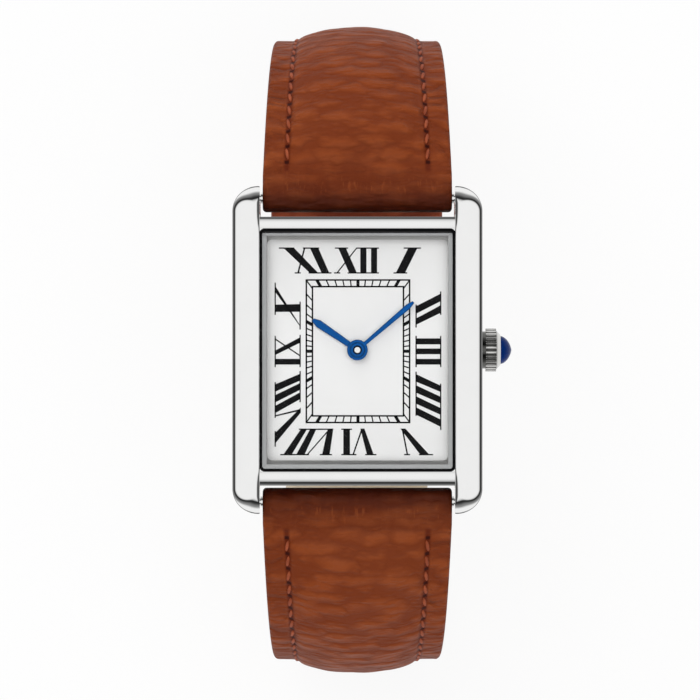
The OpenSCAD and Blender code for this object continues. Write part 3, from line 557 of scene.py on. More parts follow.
class Palette:
    """All finishes of the watch, each built once when first asked for."""

    # The calf's colour, the colour of its painted shade, and a lighter tone.
    CALF_TONES = ((0.225, 0.044, 0.009), (0.1, 0.012, 0.002), (0.25, 0.054, 0.013))
    # Lengths from the watch's middle over which the painted shade towards the case comes in.
    CASE_SHADE = (14.0, 18.8)
    FINISHES = {
        "mirror_steel": Metal(
            "mirror_steel", (0.87, 0.87, 0.865), 0.045, wear=0.02, depth=0.0004, tarnish=0.985
        ),
        "crown_steel": FlutedSteel(),
        "satin_steel": Metal("satin_steel", (0.74, 0.74, 0.73), 0.2, (0.4, 6, 6), 0.12, 0.003),
        "spring_steel": Metal("spring_steel", (0.62, 0.62, 0.62), 0.24, (6, 1, 6), 0.1, 0.002),
        "rehaut_steel": Metal("rehaut_steel", (0.62, 0.62, 0.61), 0.5, (4, 4, 4), 0.1, 0.002),
        "nickel_can": Metal("nickel_can", (0.72, 0.7, 0.66), 0.16, (2, 2, 2), 0.1, 0.002),
        "dark_magnet": Metal("dark_magnet", (0.2, 0.2, 0.21), 0.3, (4, 4, 4), 0.1, 0.004),
        "soft_iron": Metal("soft_iron", (0.5, 0.5, 0.51), 0.32, (5, 5, 5), 0.12, 0.004),
        "gilt_brass": Metal("gilt_brass", (0.83, 0.62, 0.28), 0.17, (3, 3, 3), 0.1, 0.002),
        "plate_brass": Metal("plate_brass", (0.8, 0.66, 0.38), 0.28, (0.5, 5, 5), 0.14, 0.004),
        "blued": Metal("blued_hands", (0.004, 0.1, 0.37), 0.2, (4, 4, 4), 0.06, 0.0006, 0.8),
        # Dark steel of the hub's pin, also used for the ring of painted shade round the hub.
        "dark_blued_and_shade": Metal("hub_pin_and_shade", (0.004, 0.02, 0.07), 0.25, (4, 4, 4), 0.06, 0.0006),
        "dial_white": Moulded(
            "dial_enamel", (0.86, 0.86, 0.855), 0.5, (0.845, 0.845, 0.84), 0.6, 0.001, gloss=0.1
        ),
        "ink": Moulded(
            "printed_ink", (0.003, 0.003, 0.0035), 0.6, (0.005, 0.005, 0.0055), 5, 0.004, gloss=0.05
        ),
        "rubber": Moulded(
            "black_rubber", (0.003, 0.003, 0.0035), 0.7, (0.005, 0.005, 0.005), 3, 0.01, gloss=0.05
        ),
        "holder": Moulded("holder_plastic", (0.8, 0.8, 0.77), 0.4, (0.74, 0.74, 0.71), 1.5, 0.01),
        "board": Moulded(
            "circuit_board", (0.02, 0.17, 0.06), 0.34, (0.015, 0.12, 0.05), 2.5, 0.008, 0.4
        ),
        "chip": Moulded("chip_resin", (0.014, 0.014, 0.015), 0.36, (0.022, 0.022, 0.022), 4, 0.006),
        "sapphire_blue": Moulded(
            "cabochon_stone", (0.001, 0.024, 0.16), 0.1, (0.001, 0.016, 0.1), 0.8, 0.0005, gloss=0.1
        ),
        "thread": Moulded("waxed_thread", (0.33, 0.068, 0.02), 0.6, (0.24, 0.045, 0.014), 6, 0.03),
        "glass": Crystal(),
        "copper": Winding(),
        "calf": Leather("smooth_calf", *CALF_TONES, stitched=True, case_shade=CASE_SHADE),
        "roll_calf": Leather("roll_calf_shaded", *CALF_TONES, case_shade=CASE_SHADE),
        "plain_calf": Leather(
            "plain_calf", (0.22, 0.043, 0.016), (0.09, 0.012, 0.004), (0.25, 0.052, 0.02), 0.5, 0.1
        ),
        "lining_calf": Leather(
            "lining_calf", (0.74, 0.64, 0.5), (0.66, 0.55, 0.41), (0.78, 0.69, 0.56),
            1.0, 0.03, 0.55,
        ),
    }

    def __init__(self) -> None:
        """Starts with no material built."""
        self.built: dict[str, bpy.types.Material] = {}

    def get(self, name: str) -> bpy.types.Material:
        """The finish of that name as a material."""
        if name not in self.built:
            self.built[name] = self.FINISHES[name].build()
        return self.built[name]

    def dress(self, piece: bpy.types.Object, name: str) -> None:
        """Gives every face of a piece one finish."""
        slots = piece.data.materials
        if not len(slots):
            slots.append(None)
        for index in range(len(slots)):
            slots[index] = self.get(name)


PALETTE = Palette()


# Modelling


def metres(spot: Sequence[float]) -> list[float]:
    """A place or size in millimetres as metres."""
    return [part * MM for part in spot]


def deselect() -> None:
    """Leaves edit mode and deselects all objects."""
    if bpy.context.object is not None and bpy.context.object.mode != "OBJECT":
        bpy.ops.object.mode_set(mode="OBJECT")
    bpy.ops.object.select_all(action="DESELECT")


def focus(piece: bpy.types.Object) -> None:
    """Makes a piece the only selected and the active one."""
    deselect()
    piece.select_set(True)
    bpy.context.view_layer.objects.active = piece


def settle(piece: bpy.types.Object, name: str, angle: float = 35) -> bpy.types.Object:
    """Names a piece, puts its place in its mesh, closes and turns it outward and smooths it.

    Args:
        piece: the new piece.
        name: its name.
        angle: edges sharper than this, in degrees, stay sharp.

    Returns:
        The piece.
    """
    focus(piece)
    bpy.ops.object.transform_apply(location=True, rotation=True, scale=True)
    bpy.ops.object.mode_set(mode="EDIT")
    bpy.ops.mesh.select_all(action="SELECT")
    bpy.ops.mesh.remove_doubles(threshold=WELD)
    bpy.ops.mesh.normals_make_consistent(inside=False)
    bpy.ops.object.mode_set(mode="OBJECT")
    bpy.ops.object.shade_smooth_by_angle(angle=math.radians(angle))
    piece.name = piece.data.name = name
    return piece


def use(piece: bpy.types.Object, body: Body, finish: str) -> bpy.types.Object:
    """Dresses a finished piece and sets it on its body.

    Args:
        piece: the piece.
        body: what it moves with.
        finish: the name of its finish.

    Returns:
        The piece.
    """
    PALETTE.dress(piece, finish)
    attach(piece, body.value)
    log.info("%s: %d faces, rides on %s", piece.name, len(piece.data.polygons), body.value)
    return piece


def apply(piece: bpy.types.Object, kind: str, **settings: object) -> None:
    """Adds a modifier to a piece, sets it up and applies it.

    Args:
        piece: the piece.
        kind: the modifier's type.
        settings: the modifier's properties.
    """
    focus(piece)
    made = piece.modifiers.new(kind.lower(), kind)
    for key, value in settings.items():
        setattr(made, key, value)
    bpy.ops.object.modifier_apply(modifier=made.name)


def skin(rings: np.ndarray, name: str, angle: float = 60) -> bpy.types.Object:
    """A closed tube through rings of points, from a grid that is rolled up and capped.

    Args:
        rings: points in metres, as ring by point by xyz, each ring closed on itself.
        name: the piece's name.
        angle: edges sharper than this, in degrees, stay sharp.

    Returns:
        The new piece.
    """
    count, around = rings.shape[0], rings.shape[1]
    deselect()
    bpy.ops.mesh.primitive_grid_add(x_subdivisions=around, y_subdivisions=count - 1, size=1)
    piece = bpy.context.object
    flat = np.array([vertex.co[:] for vertex in piece.data.vertices])
    column = np.rint((flat[:, 0] + 0.5) * around).astype(int) % around
    row = np.rint((flat[:, 1] + 0.5) * (count - 1)).astype(int)
    piece.data.vertices.foreach_set("co", rings[row, column].astype(np.float32).ravel())
    piece.data.update()
    focus(piece)
    bpy.ops.object.mode_set(mode="EDIT")
    bpy.ops.mesh.select_all(action="SELECT")
    bpy.ops.mesh.remove_doubles(threshold=0.0005 * MM)
    bpy.ops.mesh.fill_holes(sides=0)
    bpy.ops.object.mode_set(mode="OBJECT")
    return settle(piece, name, angle)


def even_faces(piece: bpy.types.Object) -> None:
    """Weighs the normals by face area, so that flat faces stay flat beside rounded edges."""
    apply(piece, "WEIGHTED_NORMAL", mode="FACE_AREA", weight=100, keep_sharp=True)


def smoothed_copy(
    nodes: Sequence[str], name: str, soften: float = 0.0, angle: float = 32, segments: int = 3
) -> bpy.types.Object:
    """A welded, smooth copy of solids of the frame with softened edges, which stands for them.

    Args:
        nodes: the solids.
        name: the new piece's name.
        soften: width of the edges' rounding, in millimetres.
        angle: edges sharper than this, in degrees, are rounded and stay crisp.
        segments: steps of the rounding.

    Returns:
        The new piece.
    """
    deselect()
    for node in nodes:
        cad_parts[node].select_set(True)
        bpy.context.view_layer.objects.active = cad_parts[node]
    bpy.ops.object.duplicate()
    if len(nodes) > 1:
        bpy.ops.object.join()
    piece = bpy.context.object
    for key in [key for key in piece.keys() if key.startswith("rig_")]:
        del piece[key]
    piece.parent = None
    focus(piece)
    bpy.ops.object.mode_set(mode="EDIT")
    bpy.ops.mesh.select_all(action="SELECT")
    bpy.ops.mesh.remove_doubles(threshold=WELD)
    bpy.ops.mesh.dissolve_limited(angle_limit=math.radians(0.5))
    bpy.ops.object.mode_set(mode="OBJECT")
    if soften:
        apply(
            piece, "BEVEL", width=soften * MM, segments=segments, limit_method="ANGLE",
            angle_limit=math.radians(angle), use_clamp_overlap=True, loop_slide=False,
        )
    settle(piece, name, angle)
    even_faces(piece)
    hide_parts(*nodes)
    return piece


def cut_with(piece: bpy.types.Object, cutter: bpy.types.Object) -> None:
    """Cuts a piece with another one, which is then thrown away."""
    apply(piece, "BOOLEAN", operation="DIFFERENCE", object=cutter, solver="EXACT")
    bpy.data.objects.remove(cutter)


def bore(
    piece: bpy.types.Object, at: Sequence[float], radius: float, depth: float,
    tilt: Sequence[float], vertices: int = 40,
) -> None:
    """Cuts a round hole through a piece.

    Args:
        piece: the piece.
        at: the middle of the hole, in millimetres.
        radius: its radius in millimetres.
        depth: its depth in millimetres.
        tilt: the turn of its axis from the upright, in radians.
        vertices: how many sides it has.
    """
    deselect()
    bpy.ops.mesh.primitive_cylinder_add(
        vertices=vertices, radius=radius * MM, depth=depth * MM, location=metres(at), rotation=tilt
    )
    cut_with(piece, bpy.context.object)


def make_box(centre: Sequence[float], size: Sequence[float]) -> bpy.types.Object:
    """A box in millimetres, with its place in its mesh, to cut other pieces with.

    Args:
        centre: its middle.
        size: its sides.

    Returns:
        The box.
    """
    deselect()
    bpy.ops.mesh.primitive_cube_add(size=1, location=metres(centre), scale=metres(size))
    box = bpy.context.object
    focus(box)
    bpy.ops.object.transform_apply(location=True, rotation=True, scale=True)
    return box


# The tilt of a hole that runs along x.
ALONG_X = (0, math.pi / 2, 0)


# Strap


@dataclass(frozen=True)
class Stretch:
    """One length of the strap's path, straight or an arc."""

    length: float
    turn: float = 0.0


ROLL = Stretch(2.2)
SHOULDER = Stretch(22 * math.radians(70), -70)
WRIST = Stretch(11 * math.pi / 2, -90)
TAIL_CURL = Stretch(9 * math.pi / 2, -90)


@dataclass
class StrapPath:
    """The bent line of one strap half: it starts at the spring bar and heads down the wrist.

    The width narrows by fall over fall_length, and the end is rounded over tip_length.
    """

    stretches: Sequence[Stretch]
    start: Point = BAR_AT
    heading: float = -20.0
    mirrored: bool = False
    lug_half: float = 9.8
    fall: float = 1.8
    fall_length: float = 50.0
    tip_length: float = 0.0
    blunt: float = 0.03

    @property
    def side(self) -> int:
        """1 for the half at twelve o'clock and -1 for the mirrored one."""
        return -1 if self.mirrored else 1

    @property
    def length(self) -> float:
        """Length without the rounded tip."""
        return sum(stretch.length for stretch in self.stretches)

    def half_width(self, run: float) -> float:
        """Half of the strap's width at a length from the bar."""
        width = self.lug_half - self.fall * min(run, self.fall_length) / self.fall_length
        past = (run - self.length) / self.tip_length if self.tip_length else 0
        return width * math.sqrt(max(self.blunt, 1 - past * past)) if past > 0 else width

    def at(self, run: float) -> Place:
        """Where the path is at a length from the bar.

        Args:
            run: the length in millimetres.

        Returns:
            y, z and the heading in radians.
        """
        y, z = self.start
        angle = math.radians(self.heading)
        for index, stretch in enumerate(self.stretches):
            last = index == len(self.stretches) - 1
            here = run if last else min(run, stretch.length)
            turn = math.radians(stretch.turn) * here / stretch.length
            if stretch.turn:
                radius = stretch.length / math.radians(stretch.turn)
                y += radius * (math.sin(angle + turn) - math.sin(angle))
                z -= radius * (math.cos(angle + turn) - math.cos(angle))
            else:
                y += here * math.cos(angle)
                z += here * math.sin(angle)
            angle += turn
            run -= here
            if run <= 0:
                break
        return y, z, angle

    def bend(self, flat: np.ndarray) -> np.ndarray:
        """Wraps flat points round the path.

        Args:
            flat: points in millimetres as (across, along, height), on any grid.

        Returns:
            The points in metres in the frame.
        """
        runs, back = np.unique(np.round(flat[..., 1], 4), return_inverse=True)
        spots = np.array([self.at(run) for run in runs])[back.reshape(flat.shape[:-1])]
        y = spots[..., 0] - np.sin(spots[..., 2]) * flat[..., 2]
        z = spots[..., 1] + np.cos(spots[..., 2]) * flat[..., 2]
        return np.stack([flat[..., 0], self.side * y, z], axis=-1) * MM

    def bend_piece(self, piece: bpy.types.Object) -> None:
        """Wraps a piece that was modelled flat, in millimetres, round the path."""
        mesh = piece.data
        flat = np.zeros(len(mesh.vertices) * 3)
        mesh.vertices.foreach_get("co", flat)
        bent = self.bend(flat.reshape(-1, 3))
        mesh.vertices.foreach_set("co", bent.astype(np.float32).ravel())
        mesh.update()


def ease(share: float) -> float:
    """A soft step from 0 to 1."""
    share = max(0.0, min(1.0, share))
    return share * share * (3 - 2 * share)


@dataclass
class RolledEnd:
    """A strap end rolled round a bar: a full circle that runs out into the strap's thickness."""

    radius: float
    bore: float
    length: float
    top: float
    bottom: float
    half_width: float
    side_edge: float = 0.4

    def outline(self) -> list[Point]:
        """The closed outline, from the top of the bar round its far side, as (along, height)."""
        arc, flat = 24, 4
        turns = [math.pi / 2 + math.pi * k / arc for k in range(arc + 1)]
        points = [(self.radius * math.cos(turn), self.radius * math.sin(turn)) for turn in turns]
        lower = (self.radius - self.bottom) / flat
        upper = (self.radius - self.top) / flat
        points += [(self.length * k / flat, lower * k - self.radius) for k in range(1, flat + 1)]
        points += [(self.length, (self.top - self.bottom) / 2)]
        points += [(self.length * k / flat, self.radius - upper * k) for k in range(flat, 0, -1)]
        return points

    def rings(self) -> np.ndarray:
        """The outline at stations across the strap, smaller at its rounded sides."""
        arc, flat = 5, 12
        edge, width = self.side_edge, self.half_width
        side = []
        for turn in (math.pi / 2 * k / arc for k in range(arc, -1, -1)):
            side.append((-width + edge - edge * math.sin(turn), edge - edge * math.cos(turn)))
        middle = [((width - edge) * (2 * k / flat - 1), 0.0) for k in range(1, flat)]
        rings = []
        for across, shrink in side + middle + [(-x, less) for x, less in reversed(side)]:
            share = 1 - shrink / self.radius
            ring = []
            for y, height in self.outline():
                at_end = y > self.length - 0.1
                ring.append((across, y if at_end else y * share, height * share))
            rings.append(ring)
        return np.array(rings)


@dataclass
class StrapHalf:
    """One padded half: top leather with its pad, lining, stitching, punched holes and edge.

    roll is the outer radius of the rolled end and the radius of its hole, and stitch is half the
    size of a stitch across, along and up. The lengths of the pad are counted from the spring bar.
    """

    path: StrapPath
    body: Body
    name: str
    holes: int = 0
    first_hole: float = 9.0
    hole_pitch: float = 4.5
    hole_radius: float = 0.9
    leather: float = 1.2
    lining: float = 1.0
    pad: float = 1.3
    border: float = 2.45
    seam_inset: float = 2.42
    pitch: float = STITCH_PITCH
    fold: float = ROLL.length
    roll: Point = (1.45, 0.85)
    step: float = 0.32
    wrinkle: float = 0.2
    wave: float = 0.07
    groove: float = 0.13
    groove_width: float = 0.34
    hem_drop: float = 0.13
    edge: float = 0.42
    lining_edge: float = 0.4
    pad_rise: float = 4.6
    pad_end: float = SHOULDER.length + 10
    pad_fall: float = 12.0
    stitch: Place = (0.2, 0.62, 0.17)
    stitch_tilt: float = 0.1
    stitch_lift: float = 0.07

    def padding(self, run: float) -> float:
        """Height of the pad at a length from the bar."""
        rise = ease((run - self.fold) / self.pad_rise)
        return self.pad * rise * (1 - ease((run - self.pad_end) / self.pad_fall))

    def hem(self, run: float) -> float:
        """How much thinner the borders are than the rolled end, at a length from the bar."""
        return self.hem_drop * ease((run - 2.5) / 0.6)

    def seam_at(self, run: float) -> float:
        """Distance of the seam from the middle at a length from the bar."""
        return self.path.half_width(run) - self.seam_inset

    def runs(self) -> list[float]:
        """Lengths of the cross sections, closer together at the tip."""
        last = self.path.length
        count = round((last - self.fold) / self.step)
        runs = [self.fold + (last - self.fold) * k / count for k in range(count + 1)]
        if self.path.tip_length:
            turns = [math.pi / 2 * k / 18 for k in range(1, 19)]
            runs += [last + self.path.tip_length * math.sin(turn) for turn in turns]
        return runs

    def crown(self, across: float, run: float) -> float:
        """Height of the top leather over its flat thickness, with its pad, creases and seam groove.

        Args:
            across: distance from the middle.
            run: length from the bar.

        Returns:
            The height in millimetres.
        """
        width = self.path.half_width(run)
        inner = width - min(self.border, width * 0.4)
        share = min(1.0, abs(across) / inner)
        rise = self.padding(run)
        height = rise * max(0.0, 1 - share * share) ** 0.75
        past_seam = abs(across) - self.seam_at(run)
        sunk = math.exp(-((past_seam / self.groove_width) ** 2))
        height -= self.groove * sunk * ease(run - self.fold)
        height -= self.hem(run) * ease((past_seam - 0.1) / 0.5)
        seed = 3.0 if self.path.mirrored else 9.0
        wide = noise.noise(Vector((across * 0.12, run * 0.3, seed)))
        where = Vector((across * 0.22 + 0.5 * wide, run * 0.6 + 0.9 * wide, seed))
        pillow = 0.5 - noise.voronoi(where)[0][0]
        plump = (0.3 + 0.7 * rise / self.pad) * (0.45 + 0.55 * (1 - share**4))
        folds = self.wrinkle * pillow + self.wave * wide
        return height + folds * plump * ease((run - self.fold - 1.5) / 4)

    def section(self, run: float) -> list[Point]:
        """The outline of the top leather across the strap.

        Args:
            run: length from the bar.

        Returns:
            Points (across, height), anticlockwise from the left end of the underside.
        """
        width = self.path.half_width(run)
        edge = min(self.edge, width * TIP_EDGE_SHARE)
        flat = width - edge
        top = self.leather - self.hem(run) - edge
        under, over = 8, 76
        turns = [math.pi / 2 * k / 5 for k in range(6)]
        points = [(-flat + 2 * flat * k / under, 0.0) for k in range(under)]
        points.append((width - 0.1, 0.0))
        points += [(flat + edge * math.cos(turn), top + edge * math.sin(turn)) for turn in turns]
        for k in range(1, over):
            across = flat * (1 - 2 * k / over)
            points.append((across, self.leather + self.crown(across, run)))
        points += [(-flat - edge * math.sin(turn), top + edge * math.cos(turn)) for turn in turns]
        points.append((-width + 0.02, 0.0))
        return points

    def build_leather(self) -> bpy.types.Object:
        """The padded top leather, swept along the path, with its seam chart."""
        runs = self.runs()
        flat = np.array([[(x, run, n) for x, n in self.section(run)] for run in runs])
        piece = skin(self.path.bend(flat), f"{self.name}_padded_leather")
        self.chart_seam(piece)
        self.punch(piece)
        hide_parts(f"{self.name}_strap_leather")
        return use(piece, self.body, "calf")

    def chart_seam(self, piece: bpy.types.Object) -> None:
        """Adds a UV layer with the distance from the seam and the length, in millimetres."""
        runs = np.array(self.runs())
        y, z, angle = np.array([self.path.at(run) for run in runs]).T
        points = np.array([vertex.co[:] for vertex in piece.data.vertices]) / MM
        off_y = points[:, 1:2] * self.path.side - y
        off_z = points[:, 2:3] - z
        along = off_y * np.cos(angle) + off_z * np.sin(angle)
        nearest = (off_y**2 + off_z**2).argmin(axis=1)
        length = runs[nearest] + along[np.arange(len(points)), nearest]
        seam = np.abs(points[:, 0]) - np.array([self.seam_at(run) for run in length])
        layer = piece.data.uv_layers.new(name="seam")
        loops = np.zeros(len(piece.data.loops), dtype=np.int32)
        piece.data.loops.foreach_get("vertex_index", loops)
        chart = np.stack([seam[loops], length[loops]], axis=1)
        layer.data.foreach_set("uv", chart.astype(np.float32).ravel())

    def punch(self, piece: bpy.types.Object) -> None:
        """Cuts the row of tongue holes through a piece."""
        for k in range(self.holes):
            run = self.path.length + self.path.tip_length - self.first_hole - k * self.hole_pitch
            y, z, angle = self.path.at(run)
            side = self.path.side
            bore(piece, (0, side * y, z), self.hole_radius, 6, (side * angle, 0, 0), 32)

    def build_lining(self) -> bpy.types.Object:
        """The smooth lining under the leather, with rounded lower edges."""
        turns = [math.pi / 2 * k / 4 for k in range(5)]
        rings = []
        for run in self.runs():
            width = self.path.half_width(run)
            edge = min(self.lining_edge, width * TIP_EDGE_SHARE)
            flat, low = width - edge, edge - self.lining
            ring = [(width * (1 - 2 * k / 8), 0.0) for k in range(9)]
            ring += [(-flat - edge * math.cos(turn), low - edge * math.sin(turn)) for turn in turns]
            ring += [(flat * (2 * k / 8 - 1), -self.lining) for k in range(1, 8)]
            ring += [(flat + edge * math.sin(turn), low - edge * math.cos(turn)) for turn in turns]
            rings.append([(x, run, height) for x, height in ring])
        piece = skin(self.path.bend(np.array(rings)), f"{self.name}_smooth_lining")
        self.punch(piece)
        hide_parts(f"{self.name}_strap_lining")
        return use(piece, self.body, "lining_calf")

    def build_fold(self) -> bpy.types.Object:
        """The rolled end that holds the spring bar, with rounded sides."""
        half_width = self.path.half_width(self.fold)
        end = RolledEnd(*self.roll, self.fold, self.leather, self.lining, half_width)
        piece = skin(self.path.bend(end.rings()), f"{self.name}_bar_roll")
        y, z, _ = self.path.at(0)
        bore(piece, (0, self.path.side * y, z), end.bore, 40, ALONG_X)
        settle(piece, piece.name, 50)
        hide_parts(f"{self.name}_strap_fold")
        return use(piece, self.body, "roll_calf")

    def build_stitching(self) -> bpy.types.Object:
        """Waxed thread in two rows: one stitch is modelled, set out in a row and copied over."""
        first, last = 2.9, self.path.length - (0.5 if self.path.tip_length else 1.5)
        rows = []
        for side in (-1, 1):
            deselect()
            bpy.ops.mesh.primitive_uv_sphere_add(segments=8, ring_count=6, radius=1)
            row = bpy.context.object
            focus(row)
            bpy.ops.transform.resize(value=self.stitch)
            bpy.ops.object.transform_apply(location=True, rotation=True, scale=True)
            count = int((last - first) / self.pitch)
            apply(
                row, "ARRAY", count=count, use_relative_offset=False, use_constant_offset=True,
                constant_offset_displace=(0, self.pitch, 0),
            )
            start = math.ceil(first / self.pitch) * self.pitch + self.pitch / 2
            for vertex in row.data.vertices:
                run = vertex.co.y + start
                centre = round(vertex.co.y / self.pitch) * self.pitch + start
                seam = self.seam_at(centre)
                tilt = self.stitch_tilt * (run - centre) / self.stitch[1]
                vertex.co.x = side * (seam + vertex.co.x + tilt)
                vertex.co.y = run
                vertex.co.z += self.leather + self.crown(seam, centre) + self.stitch_lift
            self.path.bend_piece(row)
            rows.append(row)
        focus(rows[0])
        rows[1].select_set(True)
        bpy.ops.object.join()
        piece = settle(bpy.context.object, f"{self.name}_stitching")
        return use(piece, self.body, "thread")

    def build(self) -> None:
        """Builds the whole half."""
        self.build_leather()
        self.build_lining()
        self.build_fold()
        self.build_stitching()


@dataclass
class BuckleEnd:
    """The buckle half's end: its roll, both keepers, the frame and its tongue.

    The bar's place is y and z. roll is the outer radius of the rolled end, the radius of its hole
    and its length. A keeper's three numbers are its place along y, its width and its gap to the
    strap.
    """

    bar: Point = (8.2429, -39.9257)
    roll: Place = (1.2, 0.65, 2.2)
    leather: float = 1.2
    lining: float = 1.0
    strap_half: float = 8.0
    second_layer: float = 2.4
    slot_half: float = 1.25
    slot_end: float = 1.6
    keeper_wall: float = 0.9
    keeper_room: float = 1.2
    keeper_corner: float = 0.62
    keeper_bulge: float = 0.45
    fixed_keeper: Place = (12.0929, 3.0, 0.02)
    free_keeper: Place = (15.6929, 3.6, 0.1)

    def build_roll(self) -> None:
        """The rolled leather on the buckle's bar, with the slot for the tongue."""
        end = RolledEnd(*self.roll, self.lining, self.leather, self.strap_half)
        y, z = self.bar
        rings = end.rings() + np.array((0, y, z))
        piece = skin(rings * MM, "buckle_end_roll")
        bore(piece, (0, y, z), end.bore, 40, ALONG_X)
        middle = (0, y + self.slot_end / 2 - 1.5, z)
        cut_with(piece, make_box(middle, (2 * self.slot_half, self.slot_end + 3, 6)))
        settle(piece, piece.name, 50)
        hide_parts("buckle_fold")
        use(piece, Body.UPPER, "plain_calf")

    def build_keeper(
        self, name: str, node: str, body: Body, at: float, width: float, gap: float
    ) -> None:
        """One loop of leather round the strap, with rounded edges.

        Args:
            name: the piece's name.
            node: the solid it stands for.
            body: what it moves with.
            at: its place along y.
            width: its width along y.
            gap: room between it and the strap.
        """
        wall, radius = self.keeper_wall, self.keeper_corner
        half = (2 * self.strap_half + self.keeper_room + 2 * gap + wall) / 2
        height = (self.leather + self.lining + self.second_layer + gap + wall) / 2
        middle = self.bar[1] + self.lining + gap + wall / 2 - height
        deselect()
        bpy.ops.mesh.primitive_torus_add(
            major_segments=120, minor_segments=20, major_radius=1, minor_radius=0.3
        )
        piece = bpy.context.object
        sides = (2 * (half - radius), 2 * (height - radius))
        corner = radius * math.pi / 2
        around = 2 * sum(sides) + 4 * corner
        for vertex in piece.data.vertices:
            share = (math.atan2(vertex.co.y, vertex.co.x) / (2 * math.pi)) % 1.0
            turn = math.atan2(vertex.co.z, math.hypot(vertex.co.x, vertex.co.y) - 1)
            x, z, normal = self.loop(share * around, sides, corner, radius)
            out = self.bulge(math.cos(turn)) * wall / 2
            along = self.bulge(math.sin(turn)) * width / 2
            place = (x + out * math.cos(normal), at + along, middle + z + out * math.sin(normal))
            vertex.co = metres(place)
        settle(piece, name, 60)
        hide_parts(node)
        use(piece, body, "plain_calf")

    def bulge(self, share: float) -> float:
        """A circle's cosine or sine, pushed out towards a rounded square's."""
        return math.copysign(abs(share) ** self.keeper_bulge, share)

    @staticmethod
    def loop(run: float, sides: Point, corner: float, radius: float) -> Place:
        """A point on a rounded rectangle.

        Args:
            run: length along it from the middle of its right side's lower end.
            sides: lengths of its straight sides, across and up.
            corner: length of one corner's arc.
            radius: the corners' radius.

        Returns:
            x, z and the outward direction in radians.
        """
        wide, tall = sides
        starts = (
            (wide / 2, -tall / 2, tall), (wide / 2, tall / 2, wide),
            (-wide / 2, tall / 2, tall), (-wide / 2, -tall / 2, wide),
        )
        for index, (x, z, length) in enumerate(starts):
            out = math.pi / 2 * index
            if run <= length:
                ahead = out + math.pi / 2
                return (
                    x + radius * math.cos(out) + run * math.cos(ahead),
                    z + radius * math.sin(out) + run * math.sin(ahead),
                    out,
                )
            run -= length
            if run <= corner:
                turn = out + math.pi / 2 * run / corner
                x, z, _ = starts[(index + 1) % 4]
                return x + radius * math.cos(turn), z + radius * math.sin(turn), turn
            run -= corner
        return wide / 2 + radius, -tall / 2, 0.0

    def build(self) -> None:
        """Builds the roll, the keepers, the frame and the tongue."""
        self.build_roll()
        self.build_keeper("fixed_keeper_loop", "fixed_keeper", Body.UPPER, *self.fixed_keeper)
        self.build_keeper("free_keeper_loop", "free_keeper", Body.KEEPER, *self.free_keeper)
        rim = smoothed_copy(["buckle_frame"], "buckle_rounded_frame", 0.38, 40, 4)
        use(rim, Body.BUCKLE, "mirror_steel")
        pin = smoothed_copy(["buckle_tongue"], "buckle_rounded_tongue", 0.14, 40, 3)
        use(pin, Body.TONGUE, "mirror_steel")


# Dial


class Edge(Enum):
    """Which way a band of numerals faces: the direction of its outer side."""

    TOP = (0, 1)
    RIGHT = (1, 0)
    BOTTOM = (0, -1)
    LEFT = (-1, 0)


